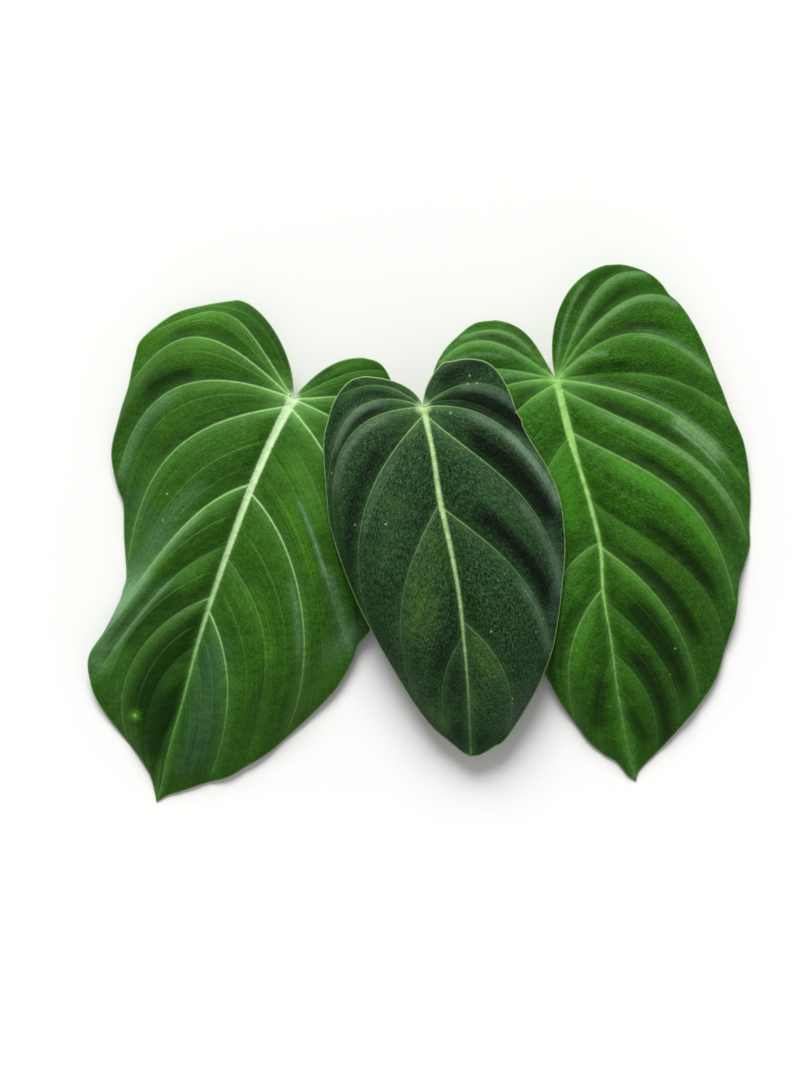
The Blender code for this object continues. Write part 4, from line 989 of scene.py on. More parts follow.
def build_roots(materials):
    """All roots in one mesh: tapering tubes that sink to the ground and wander, with round tips.

    Sideways wander is a sine of the length, and the radius has small bell-shaped knots.
    """
    shells, grain = [], []
    run = np.linspace(0, 1, ROOT_RINGS)
    for x, y, heading, reach in ROOTS:
        turn = math.radians(heading)
        bend = np.sin(run * 5 + x) * ROOT_WANDER * reach * run
        px = x + run * reach * math.cos(turn) - bend * math.sin(turn)
        py = y + run * reach * math.sin(turn) + bend * math.cos(turn)
        landed = ROOT_RADII[1] + ROOT_CLEAR
        pz = ROOT_HEIGHT + (landed - ROOT_HEIGHT) * np.clip(run / ROOT_LANDING, 0, 1)**1.5
        tip = np.sqrt(np.clip((1 - run) / ROOT_TIP, 0.02, 1))
        knots = ROOT_KNOTS[0] * np.sin(run * reach * 1.9 + y) + ROOT_KNOTS[1] * np.sin(run * reach * 4.3 + x)
        radius = (ROOT_RADII[0] + (ROOT_RADII[1] - ROOT_RADII[0]) * run) * (1 + knots) * tip
        shells.append(tube(np.stack([px, py, pz], 1), round_offsets(radius, ROOT_SIDES)))
        along = np.concatenate([np.repeat(run, ROOT_SIDES), (0, 1)])
        grain.append(np.stack([along, along * reach, along * 0], 1))
    mesh = write_mesh("rhizome_roots", *gathered(shells), materials)
    write_facts(mesh, {"grain": np.concatenate(grain)})
    return place_piece("rhizome_roots", mesh, "rhizome")


class Graph:
    """Short calls that add nodes to one tree and give back the socket that carries the result."""

    def __init__(self, tree):
        self.tree = tree

    def node(self, kind, **settings):
        made = self.tree.nodes.new(kind)
        for key, value in settings.items():
            setattr(made, key, value)
        return made

    def feed(self, socket, value):
        """Link a socket to another, or set its value."""
        if isinstance(value, bpy.types.NodeSocket):
            self.tree.links.new(value, socket)
        else:
            socket.default_value = value

    def math(self, operation, *values, clamp=False):
        made = self.node("ShaderNodeMath", operation=operation, use_clamp=clamp)
        for socket, value in zip(made.inputs, values):
            self.feed(socket, value)
        return made.outputs[0]

    def vector(self, operation, *values):
        made = self.node("ShaderNodeVectorMath", operation=operation)
        for socket, value in zip(made.inputs, values):
            self.feed(socket, value)
        return made.outputs["Value" if operation in ("LENGTH", "DISTANCE") else "Vector"]

    def scaled(self, vector, amount):
        made = self.node("ShaderNodeVectorMath", operation="SCALE")
        self.feed(made.inputs["Vector"], vector)
        self.feed(made.inputs["Scale"], amount)
        return made.outputs["Vector"]

    def eased(self, value, start, stop, low=0.0, high=1.0):
        """Low at start to high at stop, with soft ends."""
        made = self.node("ShaderNodeMapRange", interpolation_type="SMOOTHSTEP")
        for key, number in (("Value", value), ("From Min", start), ("From Max", stop), ("To Min", low),
                            ("To Max", high)):
            self.feed(made.inputs[key], number)
        return made.outputs["Result"]

    def mixed(self, share, first, second, blend="MIX"):
        made = self.node("ShaderNodeMix", data_type="RGBA", blend_type=blend, clamp_factor=True)
        self.feed(made.inputs[0], share)
        self.feed(made.inputs[6], first)
        self.feed(made.inputs[7], second)
        return made.outputs[2]

    def noise(self, vector, detail=2.0, roughness=0.5, distortion=0.0):
        """Noise of unit scale over a vector that is already scaled."""
        made = self.node("ShaderNodeTexNoise")
        for key, value in (("Vector", vector), ("Scale", 1.0), ("Detail", detail), ("Roughness", roughness),
                           ("Distortion", distortion)):
            self.feed(made.inputs[key], value)
        return made.outputs["Fac"]

    def attribute(self, name):
        made = self.node("ShaderNodeAttribute", attribute_name=name)
        return made.outputs["Vector"]

    def parts(self, vector):
        made = self.node("ShaderNodeSeparateXYZ")
        self.feed(made.inputs[0], vector)
        return made.outputs

    def place(self):
        """Object coordinates in millimetres."""
        return self.scaled(self.node("ShaderNodeTexCoord").outputs["Object"], 1 / MM)

    def group(self, tree, values):
        made = self.node("ShaderNodeGroup", node_tree=tree)
        for key, value in values.items():
            self.feed(made.inputs[key], value)
        return made.outputs

    def bump(self, height, depth):
        """A normal from heights between 0 and 1 that stand for a depth in metres."""
        made = self.node("ShaderNodeBump")
        self.feed(made.inputs["Strength"], 1.0)
        self.feed(made.inputs["Distance"], depth)
        self.feed(made.inputs["Height"], height)
        return made.outputs["Normal"]


def new_group(name, inputs, outputs):
    """A node group with named sockets: its tree, its graph, its incoming and its outgoing sockets."""
    tree = bpy.data.node_groups.new(name, "ShaderNodeTree")
    kinds = {"value": "NodeSocketFloat", "vector": "NodeSocketVector", "colour": "NodeSocketColor"}
    for socket, kind in inputs:
        tree.interface.new_socket(name=socket, in_out="INPUT", socket_type=kinds[kind])
    for socket, kind in outputs:
        tree.interface.new_socket(name=socket, in_out="OUTPUT", socket_type=kinds[kind])
    graph = Graph(tree)
    return tree, graph, graph.node("NodeGroupInput").outputs, graph.node("NodeGroupOutput").inputs


def vein_line_group():
    """Line and glow of a vein from its facts: distance, half width and strength. Fray moves its edge."""
    tree, graph, given, made = new_group(
        "vein line", [("Facts", "vector"), ("Softness", "value"), ("Glow Reach", "value"), ("Fray", "value")],
        [("Line", "value"), ("Glow", "value")])
    exact, half, strength = graph.parts(given["Facts"])
    distance = graph.math("MAXIMUM", graph.math("ADD", exact, given["Fray"]), 0.0)
    inside = graph.math("DIVIDE", graph.math("SUBTRACT", distance, half), given["Softness"])
    graph.feed(made["Line"], graph.math("MULTIPLY", graph.eased(inside, 1.0, -1.0), strength))
    far = graph.math("POWER", graph.math("DIVIDE", distance, given["Glow Reach"]), 2.0)
    near = graph.math("DIVIDE", 1.0, graph.math("ADD", 1.0, far))
    end = graph.math("MULTIPLY", given["Glow Reach"], 2.5)
    near = graph.math("MULTIPLY", near, graph.eased(distance, end, 0.0))
    graph.feed(made["Glow"], graph.math("MULTIPLY", near, strength))
    return tree


def velvet_group():
    """Greens of a velvet blade: slow patches, streaks along the fine veins and a fine nap."""
    tree, graph, given, made = new_group(
        "velvet", [("Place", "vector"), ("Lay", "vector"), ("Body", "colour"), ("Shade", "colour"),
                   ("Light", "colour"), ("Streak", "value"), ("Speckle", "value")],
        [("Colour", "colour"), ("Nap", "value"), ("Points", "value")])
    patch = graph.noise(graph.scaled(given["Place"], 0.030), detail=3.0)
    blotch = graph.noise(graph.scaled(given["Place"], 0.16), detail=3.0)
    long_streak = graph.noise(graph.vector("MULTIPLY", given["Lay"], (6.0, 1.5, 1.0)), detail=3.0)
    fine_streak = graph.noise(graph.vector("MULTIPLY", given["Lay"], (24.0, 2.2, 1.0)), detail=3.0,
                              distortion=0.3)
    nap = graph.noise(graph.scaled(given["Place"], 1.10), detail=2.0, roughness=0.7)
    row = graph.noise(graph.vector("MULTIPLY", given["Lay"], (44.0, 50.0, 1.0)), detail=2.0)
    tone = graph.math("ADD", graph.math("MULTIPLY", patch, 0.45), graph.math("MULTIPLY", long_streak, 0.30))
    tone = graph.math("ADD", tone, graph.math("MULTIPLY", blotch, 0.25))
    colour = graph.mixed(graph.eased(tone, 0.50, 0.34, 0.0, 0.45), given["Body"], given["Shade"])
    colour = graph.mixed(graph.eased(tone, 0.50, 0.68, 0.0, 0.45), colour, given["Light"])
    streak = graph.math("MULTIPLY", graph.math("SUBTRACT", fine_streak, 0.5), given["Streak"])
    grain = graph.math("ADD", graph.math("MULTIPLY", nap, 0.6), graph.math("MULTIPLY", row, 0.6))
    grain = graph.math("SUBTRACT", grain, 0.1)
    speckle = graph.math("MULTIPLY", graph.math("SUBTRACT", grain, 0.5), given["Speckle"])
    bright = graph.math("MULTIPLY_ADD", graph.math("ADD", streak, speckle), 4.0, 1.0)
    graph.feed(made["Colour"], graph.scaled(colour, graph.math("MAXIMUM", bright, 0.25)))
    hairs = graph.noise(graph.scaled(given["Place"], 1.50), detail=1.0)
    hairs = graph.math("ADD", graph.math("MULTIPLY", hairs, 0.6), graph.math("MULTIPLY", row, 0.4))
    graph.feed(made["Points"], graph.eased(hairs, 0.53, 0.66))
    graph.feed(made["Nap"], graph.math("ADD", graph.math("MULTIPLY", nap, 0.55),
                                       graph.math("MULTIPLY", fine_streak, 0.45)))
    return tree


def fibre_group():
    """Streaks along a stem from its grain, and scattered long flecks."""
    tree, graph, given, made = new_group("fibre", [("Grain", "vector"), ("Fineness", "value")],
                                         [("Fibre", "value"), ("Fleck", "value")])
    fine = graph.vector("MULTIPLY", given["Grain"], (1.0, 1.0, 0.08))
    graph.feed(made["Fibre"], graph.noise(graph.scaled(fine, given["Fineness"]), detail=3.0))
    long_marks = graph.vector("MULTIPLY", given["Grain"], (1.0, 1.0, 0.28))
    fleck = graph.noise(graph.scaled(long_marks, graph.math("MULTIPLY", given["Fineness"], 0.9)), detail=1.0)
    graph.feed(made["Fleck"], graph.eased(fleck, 0.66, 0.74))
    return tree


def new_material(name):
    """A material with its graph and its Principled shader."""
    mat = bpy.data.materials.new(name)
    mat.use_nodes = True
    return mat, Graph(mat.node_tree), mat.node_tree.nodes["Principled BSDF"]


def set_shader(graph, shader, values):
    """Set or link the shader's sockets by name."""
    for key, value in values.items():
        graph.feed(shader.inputs[key], value)


def toned(colour, factor):
    """A colour times a factor, as sockets take it."""
    return rgba(tuple(factor * c for c in colour))


def midrib_facts(graph):
    """The midrib's facts at full strength, as the vein line group takes them, and the share along it."""
    distance, half, share = graph.parts(graph.attribute("midrib"))
    facts = graph.node("ShaderNodeCombineXYZ")
    for socket, value in zip(facts.inputs, (distance, half, 1.0)):
        graph.feed(socket, value)
    return facts.outputs[0], share


def speck_mask(graph, place, centre, radius, uneven):
    """One at a place in the plan and nought outside a radius, with a soft edge that a noise moves."""
    flat = graph.vector("MULTIPLY", place, (1.0, 1.0, 0.0))
    distance = graph.vector("DISTANCE", flat, (*centre, 0.0))
    distance = graph.math("ADD", distance, graph.math("MULTIPLY", uneven, 2.6 * radius))
    return graph.eased(distance, radius, radius * 0.35)


def upper_material(name, colours, others, groups):
    """Velvet face of a blade: greens, a warm tone, painted light, shade, sheen and grey reflection, glowing
    veins, midrib, pale margin and small marks.
    """
    leaf, look = LEAVES[name], LOOKS[name]
    mat, graph, shader = new_material(name + "_velvet")
    place = graph.place()
    lay = graph.node("ShaderNodeUVMap", uv_map="lay").outputs[0]
    tone = {key: rgba(getattr(colours, key)) for key in UPPER_COLOURS[name]}
    velvet = graph.group(groups["velvet"], {
        "Place": place, "Lay": lay, "Body": tone["body"], "Shade": tone["shade"], "Light": tone["light"],
        "Streak": look["streak"], "Speckle": look["speckle"]})
    colour = velvet["Colour"]
    warm, bloom, dusk = graph.parts(graph.attribute("tint"))
    nap = graph.eased(velvet["Nap"], 0.3, 0.7, 0.6, 1.0)
    warm = graph.math("MULTIPLY", warm, graph.eased(velvet["Nap"], 0.36, 0.64, 0.35, 1.4))
    edge, reach, haze = graph.parts(graph.attribute("edge"))
    painted_light = graph.parts(graph.attribute("painted_light"))[0]
    nap_tone = graph.eased(velvet["Nap"], 0.3, 0.7, 0.75, 1.25)
    tinted = {key: graph.scaled(tone[key][:3], nap_tone)
              for key in ("warm", "bloom", "haze", "shade", "light")}
    # painted light, warm tone, painted shade, painted grey reflection and painted sheen are mixed in, in this
    # order
    colour = graph.mixed(painted_light, colour, tinted["light"])
    colour = graph.mixed(warm, colour, tinted["warm"])
    # painted shade: darkening where the quilted blade falls away from the light and in creases
    colour = graph.mixed(dusk, colour, tinted["shade"])
    # painted grey reflection: a greyish-blue sheen where the blade turns towards the light
    colour = graph.mixed(haze, colour, tinted["haze"])
    # painted sheen: a greyish highlight laid along lit ridges and margins
    colour = graph.mixed(graph.math("MULTIPLY", bloom, nap), colour, tinted["bloom"])
    # pale points of the nap, in the painted sheen's colour, fewer in the painted shade
    hairs = graph.math("MULTIPLY", velvet["Points"], graph.math("MULTIPLY_ADD", dusk, -0.7 * look["points"],
                                                                 look["points"]))
    colour = graph.mixed(hairs, colour, tone["bloom"])

    lines = {}
    ragged = graph.noise(graph.scaled(place, 1.5), detail=2.0, roughness=0.7)
    ragged = graph.math("SUBTRACT", ragged, 0.5)
    midrib, share = midrib_facts(graph)
    for key, facts, softness, spread, fray in (
            ("primary", graph.attribute("primary"), 0.38, look["glow_reach"], 1.3),
            ("faint", graph.attribute("faint"), 0.35, 2.5, 0.9),
            ("midrib", midrib, 0.70, 3.0, 2.6)):
        lines[key] = graph.group(groups["vein line"], {
            "Facts": facts, "Softness": softness, "Glow Reach": spread,
            "Fray": graph.math("MULTIPLY", ragged, fray)})
    halo = graph.eased(reach, 30.0, 3.0)
    glow = graph.math("MAXIMUM", lines["primary"]["Glow"], lines["midrib"]["Glow"])
    glow = graph.math("MULTIPLY", glow, graph.math("MULTIPLY_ADD", halo, 1.4 * look["glow"], look["glow"]))
    glow = graph.math("MULTIPLY_ADD", graph.math("MULTIPLY", halo, halo), look["halo"], glow)
    colour = graph.mixed(graph.math("MULTIPLY", glow, nap_tone), colour, tone["vein_end"])
    faint = graph.math("MULTIPLY", lines["faint"]["Line"], look["faint"])
    colour = graph.mixed(faint, colour, tone["vein_end"])
    strength = graph.parts(graph.attribute("primary"))[2]
    vein = graph.mixed(graph.eased(strength, 0.45, 1.0), tone["vein_end"], tone["vein"])
    colour = graph.mixed(graph.math("MULTIPLY", lines["primary"]["Line"], look["vein"]), colour, vein)
    rib = graph.mixed(graph.eased(share, 0.15, look["rib_fade"]), tone["rib"], tone["vein_end"])
    colour = graph.mixed(lines["midrib"]["Line"], colour, rib)
    hub = graph.math("MULTIPLY", graph.eased(reach, 6.5, 1.5), 0.9)
    colour = graph.mixed(hub, colour, tone["rib"])
    margin = graph.math("MULTIPLY", graph.eased(edge, 0.75, 0.15), look["margin"])
    colour = graph.mixed(margin, colour, tone["vein"])
    kinds = {"pale": (tone["rib"], 0.50), "brown": (rgba(others.speck), 0.85), "warm": (tone["warm"], 0.75)}
    for kind, x, y, radius in leaf["specks"]:
        centre = (leaf["hub"][0] + x, leaf["hub"][1] + y)
        mask = graph.math("MULTIPLY", speck_mask(graph, place, centre, radius, ragged), kinds[kind][1])
        colour = graph.mixed(mask, colour, kinds[kind][0])

    veins = graph.math("MAXIMUM", lines["primary"]["Line"], lines["midrib"]["Line"])
    height = graph.math("ADD", velvet["Nap"], graph.math("MULTIPLY", lines["faint"]["Line"], -0.6))
    height = graph.math("MULTIPLY", height, graph.eased(veins, 0.0, 1.0, 1.0, 0.25))
    swell = graph.noise(graph.scaled(place, 0.13), detail=2.0)
    height = graph.math("MULTIPLY_ADD", height, 0.28, swell)
    rough = graph.math("MULTIPLY_ADD", velvet["Nap"], 0.16, look["roughness"] - 0.08)
    rough = graph.math("SUBTRACT", rough, graph.math("MULTIPLY", bloom, 0.04))
    set_shader(graph, shader, {
        "Base Color": colour, "Roughness": rough, "Normal": graph.bump(height, look["swell"]),
        "Sheen Weight": look["sheen"], "Sheen Roughness": 0.45, "Sheen Tint": rgba(colours.bloom),
        "Specular IOR Level": 0.09})
    return mat


def under_material(name, colours, others, groups):
    """Dull, paler underside of a blade with raised pale veins and a fine net between them."""
    mat, graph, shader = new_material(name + "_underside")
    place = graph.place()
    lay = graph.node("ShaderNodeUVMap", uv_map="lay").outputs[0]
    under, light = np.array(others.under), np.array(colours.light)
    body = tuple(0.72 * under + 0.28 * light)
    velvet = graph.group(groups["velvet"], {
        "Place": place, "Lay": lay, "Body": rgba(body), "Shade": toned(body, 0.8),
        "Light": toned(body, 1.15), "Streak": 0.06, "Speckle": 0.06})
    net = graph.node("ShaderNodeTexVoronoi", feature="DISTANCE_TO_EDGE")
    wander = graph.noise(graph.scaled(place, 0.35), detail=2.0)
    moved = graph.vector("ADD", graph.scaled(place, 0.42), graph.scaled(wander, 1.2))
    graph.feed(net.inputs["Vector"], moved)
    graph.feed(net.inputs["Scale"], 1.0)
    mesh_line = graph.eased(net.outputs["Distance"], 0.10, 0.02)
    colour = graph.mixed(graph.math("MULTIPLY", mesh_line, 0.30), velvet["Colour"], rgba(others.under_vein))
    line = 0.0
    for facts, softness, strength in ((midrib_facts(graph)[0], 0.7, 1.0),
                                      (graph.attribute("primary"), 0.6, 1.0),
                                      (graph.attribute("faint"), 0.5, 0.6)):
        vein = graph.group(groups["vein line"], {"Facts": facts, "Softness": softness, "Glow Reach": 3.0,
                                                 "Fray": 0.0})
        line = graph.math("MAXIMUM", graph.math("MULTIPLY", vein["Line"], strength), line)
    colour = graph.mixed(graph.math("MULTIPLY", line, 0.85), colour, rgba(others.under_vein))
    height = graph.math("ADD", graph.math("MULTIPLY", mesh_line, 0.5),
                        graph.math("MULTIPLY", velvet["Nap"], 0.5))
    rough = graph.math("MULTIPLY_ADD", velvet["Nap"], 0.10, 0.50)
    set_shader(graph, shader, {
        "Base Color": colour, "Roughness": rough, "Normal": graph.bump(height, 0.00020),
        "Sheen Weight": 0.10, "Sheen Roughness": 0.5, "Specular IOR Level": 0.4})
    return mat


def stalk_material(others, groups):
    """Ribbed green stalk with a pale line on each ridge and long pale flecks."""
    mat, graph, shader = new_material("stalk_skin")
    grain = graph.attribute("grain")
    ridge, share, _ = graph.parts(graph.attribute("marks"))
    fibre = graph.group(groups["fibre"], {"Grain": grain, "Fineness": 1.1})
    colour = graph.mixed(graph.eased(fibre["Fibre"], 0.35, 0.65), toned(others.stalk, 0.72),
                         toned(others.stalk, 1.25))
    slow = graph.noise(graph.scaled(graph.place(), 0.05), detail=2.0)
    colour = graph.mixed(graph.eased(slow, 0.5, 0.72, 0.0, 0.5), colour, rgba(others.stalk_warm))
    colour = graph.mixed(graph.math("MULTIPLY", fibre["Fleck"], 0.55), colour, rgba(others.stalk_line))
    colour = graph.mixed(graph.math("MULTIPLY", ridge, 0.6), colour, rgba(others.stalk_line))
    knuckle = graph.math("MULTIPLY", graph.eased(share, 0.90, 0.97), 0.45)
    colour = graph.mixed(knuckle, colour, rgba(others.stalk_line))
    foot = graph.math("MULTIPLY", graph.eased(share, 0.10, 0.0), 0.45)
    colour = graph.mixed(foot, colour, rgba(others.stalk_foot))
    height = graph.math("ADD", fibre["Fibre"], graph.math("MULTIPLY", fibre["Fleck"], 0.4))
    rough = graph.math("MULTIPLY_ADD", fibre["Fibre"], 0.16, 0.36)
    set_shader(graph, shader, {"Base Color": colour, "Roughness": rough,
                               "Normal": graph.bump(height, 0.00025), "Specular IOR Level": 0.5})
    return mat


def stem_material(others, groups):
    """Rhizome skin: green-brown with corky scars on the rings, a green bud and a pale cut end."""
    mat, graph, shader = new_material("rhizome_skin")
    place = graph.place()
    _, along, share = graph.parts(graph.attribute("grain"))
    fibre = graph.group(groups["fibre"], {"Grain": graph.vector("MULTIPLY", place, (1.0, 0.25, 1.0)),
                                          "Fineness": 0.9})
    slow = graph.noise(graph.scaled(place, 0.09), detail=4.0)
    colour = graph.mixed(graph.eased(slow, 0.38, 0.62), toned(others.stem, 0.6), toned(others.stem, 1.2))
    run = graph.math("DIVIDE", along, RING_SPACING)
    off = graph.math("ABSOLUTE", graph.math("SUBTRACT", run, graph.math("ROUND", run)))
    ring = graph.math("MULTIPLY", graph.eased(off, 0.16, 0.03), graph.eased(slow, 0.30, 0.55, 0.35, 0.85))
    colour = graph.mixed(ring, colour, rgba(others.stem_scar))
    colour = graph.mixed(graph.math("MULTIPLY", fibre["Fleck"], 0.5), colour, rgba(others.stem_scar))
    bud = graph.math("MULTIPLY", graph.eased(share, 0.78, 0.95), 0.7)
    colour = graph.mixed(bud, colour, rgba(others.stalk))
    cut_x, _, cut_z = RHIZOME_AXIS[0]
    aside = graph.vector("DISTANCE", graph.vector("MULTIPLY", place, (1.0, 0.0, 1.0)), (cut_x, 0.0, cut_z))
    cut = graph.math("MULTIPLY", graph.eased(along, 0.55, 0.15), graph.eased(aside, 9.4, 8.6))
    strands = graph.noise(graph.scaled(place, 1.3), detail=1.0)
    face = graph.mixed(graph.eased(strands, 0.52, 0.62), rgba(others.cut), rgba(others.cut_strand))
    colour = graph.mixed(cut, colour, face)
    height = graph.math("ADD", graph.math("MULTIPLY", fibre["Fibre"], 0.6), graph.math("MULTIPLY", slow, 0.4))
    rough = graph.math("MULTIPLY_ADD", slow, 0.25, 0.45)
    set_shader(graph, shader, {"Base Color": colour, "Roughness": rough, "Normal": graph.bump(height, 0.0006),
                               "Specular IOR Level": 0.35})
    return mat


def root_material(others, groups):
    """Corky roots, darker where they leave the stem and pale at the tip."""
    mat, graph, shader = new_material("root_skin")
    place = graph.place()
    share = graph.parts(graph.attribute("grain"))[0]
    bark = graph.noise(graph.scaled(place, 0.9), detail=3.0)
    fibre = graph.group(groups["fibre"], {"Grain": place, "Fineness": 1.6})
    colour = graph.mixed(graph.eased(bark, 0.35, 0.65), toned(others.root, 0.55), rgba(others.root))
    colour = graph.mixed(graph.math("MULTIPLY", graph.eased(share, 0.72, 0.98), 0.8), colour,
                         rgba(others.root_tip))
    height = graph.math("ADD", graph.math("MULTIPLY", bark, 0.6), graph.math("MULTIPLY", fibre["Fibre"], 0.4))
    rough = graph.math("MULTIPLY_ADD", bark, 0.2, 0.62)
    set_shader(graph, shader, {"Base Color": colour, "Roughness": rough, "Normal": graph.bump(height, 0.0004),
                               "Specular IOR Level": 0.3})
    return mat


def plain_material(name, colour, roughness):
    """One plain colour, for the floor."""
    mat, graph, shader = new_material(name)
    set_shader(graph, shader, {"Base Color": rgba(colour), "Roughness": roughness, "Specular IOR Level": 0.2})
    return mat


def colour_property(label, code):
    """A colour of the panel from a hex code."""
    return bpy.props.FloatVectorProperty(name=label, description=label + " in linear light", subtype="COLOR",
                                         size=3, min=0, max=1, default=linear(code))


def length_property(label, note, size, largest):
    """A length of the panel in metres."""
    return bpy.props.FloatProperty(name=label, description=note, default=size, min=0, max=largest,
                                   precision=5, unit="LENGTH")


def palette_class(name, codes):
    """A PropertyGroup with one colour for each entry of a palette."""
    notes = {key: colour_property(key.replace("_", " ").capitalize(), code) for key, code in codes.items()}
    return type(name, (bpy.types.PropertyGroup,), {"__annotations__": notes})


LeftColours = palette_class("LeftColours", UPPER_COLOURS["leaf_left"])
MiddleColours = palette_class("MiddleColours", UPPER_COLOURS["leaf_middle"])
RightColours = palette_class("RightColours", UPPER_COLOURS["leaf_right"])
OtherColours = palette_class("OtherColours", OTHER_COLOURS)


class BladeSizes(bpy.types.PropertyGroup):
    line_step: bpy.props.FloatProperty(name="Line step", description="Longest step between lines, in veins",
                                       default=0.05, min=0.02, max=0.34)
    groove_depth: length_property("Groove depth", "Depth of the groove over a side vein", 0.00045, 0.002)
    edge_thinning: length_property("Edge thinning", "How much thinner the blade is at its margin",
                                   0.00045, 0.0006)
    rim_round: length_property("Rim rounding", "How far the rim stands out between the faces",
                               0.00012, 0.001)


class StemSizes(bpy.types.PropertyGroup):
    seat_depth: length_property("Seat depth", "How far a stalk's ends go into what they grow from",
                                0.0012, 0.003)
    rib_height: length_property("Rib height", "Height of the fine ribs round a stalk", 0.00006, 0.0005)
    voxel: length_property("Skin voxel", "Voxel that joins the stem and its collars", 0.0005, 0.003)
    smoothing: bpy.props.IntProperty(name="Smoothing", description="Rounds of smoothing after joining",
                                     default=6, min=0, max=30)


class StageSettings(bpy.types.PropertyGroup):
    floor_size: length_property("Floor size", "Width of the square floor", 14.0, 40.0)
    floor_colour: colour_property("Floor", "f4f4f2")
    centre: bpy.props.FloatVectorProperty(name="Centre", description="Point in the middle of the picture",
                                          subtype="XYZ", unit="LENGTH", size=3,
                                          default=(-0.0342, 0.0495, 0.025))
    frame_height: length_property("Frame height", "Height of the picture at the centre", 0.639, 3.0)
    distance: length_property("Camera distance", "From the centre to the camera", 3.0, 20.0)
    key_strength: bpy.props.FloatProperty(name="Key light", description="Strength of the wide key light",
                                          default=3.4, min=0, max=20)
    key_angle: bpy.props.FloatProperty(name="Key width", description="Width of the key light in the sky",
                                       default=math.radians(34), min=0, max=math.pi, subtype="ANGLE")
    key_tilt: bpy.props.FloatProperty(name="Key tilt", description="Tilt of the key light from overhead",
                                      default=math.radians(50), min=0, max=math.pi / 2, subtype="ANGLE")
    key_turn: bpy.props.FloatProperty(name="Key turn", description="Turn of the key light about the vertical",
                                      default=math.radians(8), min=-math.pi, max=math.pi, subtype="ANGLE")
    sky: bpy.props.FloatProperty(name="Sky", description="Strength of the pale surroundings", default=0.42,
                                 min=0, max=5)
    sky_seen: bpy.props.FloatProperty(name="Sky seen", description="Strength of the sky in the picture",
                                      default=0.95, min=0, max=5)


class GLORIOSUM_OT_blades(bpy.types.Operator):
    """Draw the three velvet blades"""
    bl_idname = "gloriosum.blades"
    bl_label = "Blades"

    def execute(self, context):
        scene = context.scene
        others, groups = scene.gloriosum_others, shared_groups()
        for name, colours in (("leaf_left", scene.gloriosum_left), ("leaf_middle", scene.gloriosum_middle),
                              ("leaf_right", scene.gloriosum_right)):
            faces = [make(name, colours, others, groups) for make in (upper_material, under_material)]
            build_blade(name, scene.gloriosum_blade_sizes, faces)
        return {"FINISHED"}


class GLORIOSUM_OT_stalks(bpy.types.Operator):
    """Draw the three leaf stalks"""
    bl_idname = "gloriosum.stalks"
    bl_label = "Stalks"

    def execute(self, context):
        skin = stalk_material(context.scene.gloriosum_others, shared_groups())
        for name in PETIOLES:
            build_stalk(name, context.scene.gloriosum_stem_sizes, [skin])
        return {"FINISHED"}


class GLORIOSUM_OT_rhizome(bpy.types.Operator):
    """Draw the rhizome with its collars, bud and roots"""
    bl_idname = "gloriosum.rhizome"
    bl_label = "Rhizome"

    def execute(self, context):
        others, groups = context.scene.gloriosum_others, shared_groups()
        build_rhizome(context.scene.gloriosum_stem_sizes, [stem_material(others, groups)])
        build_roots([root_material(others, groups)])
        return {"FINISHED"}


class GLORIOSUM_OT_stage(bpy.types.Operator):
    """Set the floor, the lights and the camera"""
    bl_idname = "gloriosum.stage"
    bl_label = "Stage"

    def execute(self, context):
        build_stage(context.scene, context.scene.gloriosum_stage)
        return {"FINISHED"}


class GLORIOSUM_PT_panel(bpy.types.Panel):
    bl_idname = "GLORIOSUM_PT_panel"
    bl_label = "Philodendron gloriosum"
    bl_space_type = "VIEW_3D"
    bl_region_type = "UI"
    bl_category = "Gloriosum"

    def draw(self, context):
        scene = context.scene
        for operator, groups in PANEL_ROWS:
            box = self.layout.box()
            box.operator(operator)
            for pointer in groups:
                settings = getattr(scene, pointer)
                for key in settings.__annotations__:
                    box.prop(settings, key)


PANEL_ROWS = (
    ("gloriosum.blades", ("gloriosum_blade_sizes", "gloriosum_left", "gloriosum_middle", "gloriosum_right")),
    ("gloriosum.stalks", ("gloriosum_stem_sizes", "gloriosum_others")),
    ("gloriosum.rhizome", ()),
    ("gloriosum.stage", ("gloriosum_stage",)),
)
POINTERS = {
    "gloriosum_left": LeftColours,
    "gloriosum_middle": MiddleColours,
    "gloriosum_right": RightColours,
    "gloriosum_others": OtherColours,
    "gloriosum_blade_sizes": BladeSizes,
    "gloriosum_stem_sizes": StemSizes,
    "gloriosum_stage": StageSettings,
}
CLASSES = (*POINTERS.values(), GLORIOSUM_OT_blades, GLORIOSUM_OT_stalks, GLORIOSUM_OT_rhizome,
           GLORIOSUM_OT_stage, GLORIOSUM_PT_panel)


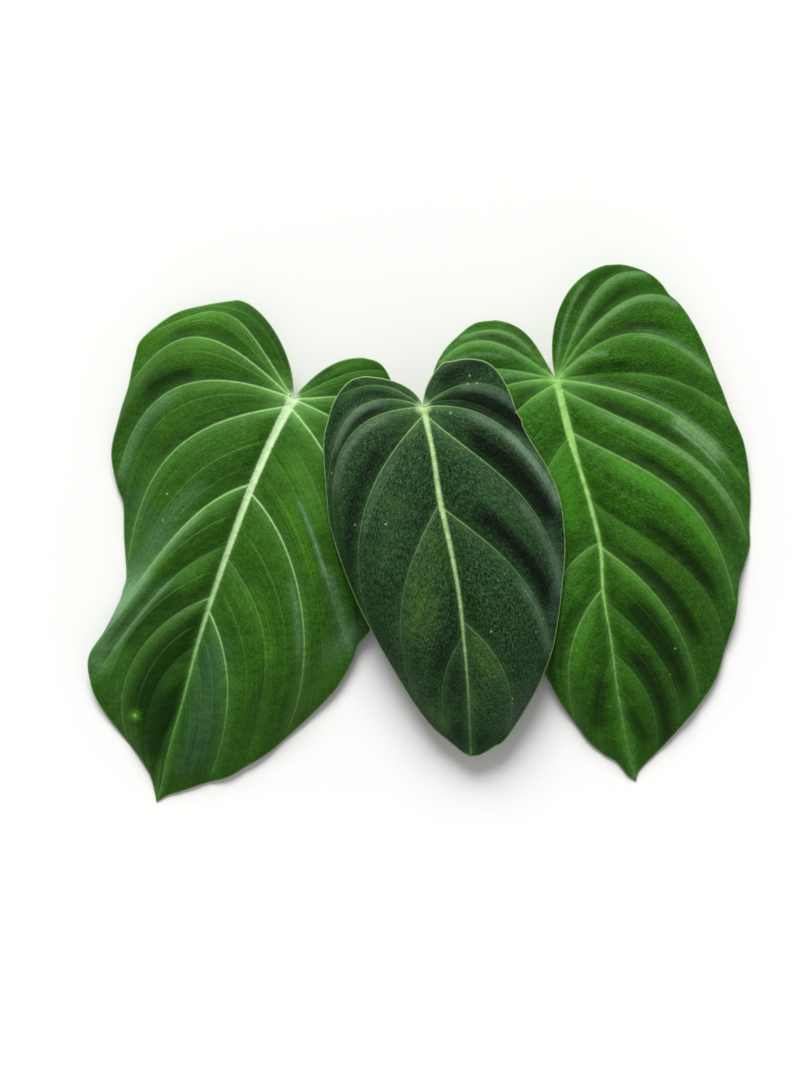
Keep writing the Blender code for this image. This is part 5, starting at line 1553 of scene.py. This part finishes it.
def shared_groups():
    """The node groups that several materials use, made once."""
    makers = {"vein line": vein_line_group, "velvet": velvet_group, "fibre": fibre_group}
    return {name: bpy.data.node_groups.get(name) or make() for name, make in makers.items()}


def build_stage(scene, settings):
    """Pale floor, one wide key light from beyond the notches, a pale sky and the camera.

    The sky lights the scene at its own strength, and the camera sees it as pale as the floor.
    """
    half = settings.floor_size / 2
    mesh = bpy.data.meshes.new("floor")
    corners = [(-half, -half, 0), (half, -half, 0), (half, half, 0), (-half, half, 0)]
    mesh.from_pydata(corners, [], [(0, 1, 2, 3)])
    mesh.materials.append(plain_material("floor_paint", settings.floor_colour, 0.8))
    linked("floor", mesh)

    centre = Vector(settings.centre)
    light = bpy.data.lights.new("key", "SUN")
    light.energy = settings.key_strength
    light.angle = settings.key_angle
    key = linked("key", light)
    key.rotation_euler = (-settings.key_tilt, 0, settings.key_turn)
    key.location = centre + Vector((0, 1, 1))
    world = bpy.data.worlds.new("sky")
    world.use_nodes = True
    graph = Graph(world.node_tree)
    seen = graph.node("ShaderNodeLightPath").outputs["Is Camera Ray"]
    strength = graph.math("MULTIPLY_ADD", seen, settings.sky_seen - settings.sky, settings.sky)
    back = world.node_tree.nodes["Background"]
    graph.feed(back.inputs["Color"], (1, 1, 1, 1))
    graph.feed(back.inputs["Strength"], strength)
    scene.world = world
    scene.view_settings.view_transform = "Standard"

    camera = bpy.data.cameras.new("camera")
    camera.lens = camera.sensor_width * settings.distance / settings.frame_height
    camera.clip_end = 100
    scene.camera = linked("camera", camera)
    scene.camera.location = centre + Vector((0, 0, settings.distance))


def register():
    for cls in CLASSES:
        bpy.utils.register_class(cls)
    for pointer, cls in POINTERS.items():
        setattr(bpy.types.Scene, pointer, bpy.props.PointerProperty(type=cls))


def unregister():
    for pointer in POINTERS:
        delattr(bpy.types.Scene, pointer)
    for cls in reversed(CLASSES):
        bpy.utils.unregister_class(cls)


def main():
    """Make everything in order."""
    register()
    bpy.ops.gloriosum.stage()
    bpy.ops.gloriosum.blades()
    bpy.ops.gloriosum.stalks()
    bpy.ops.gloriosum.rhizome()


if __name__ == "__main__":
    main()
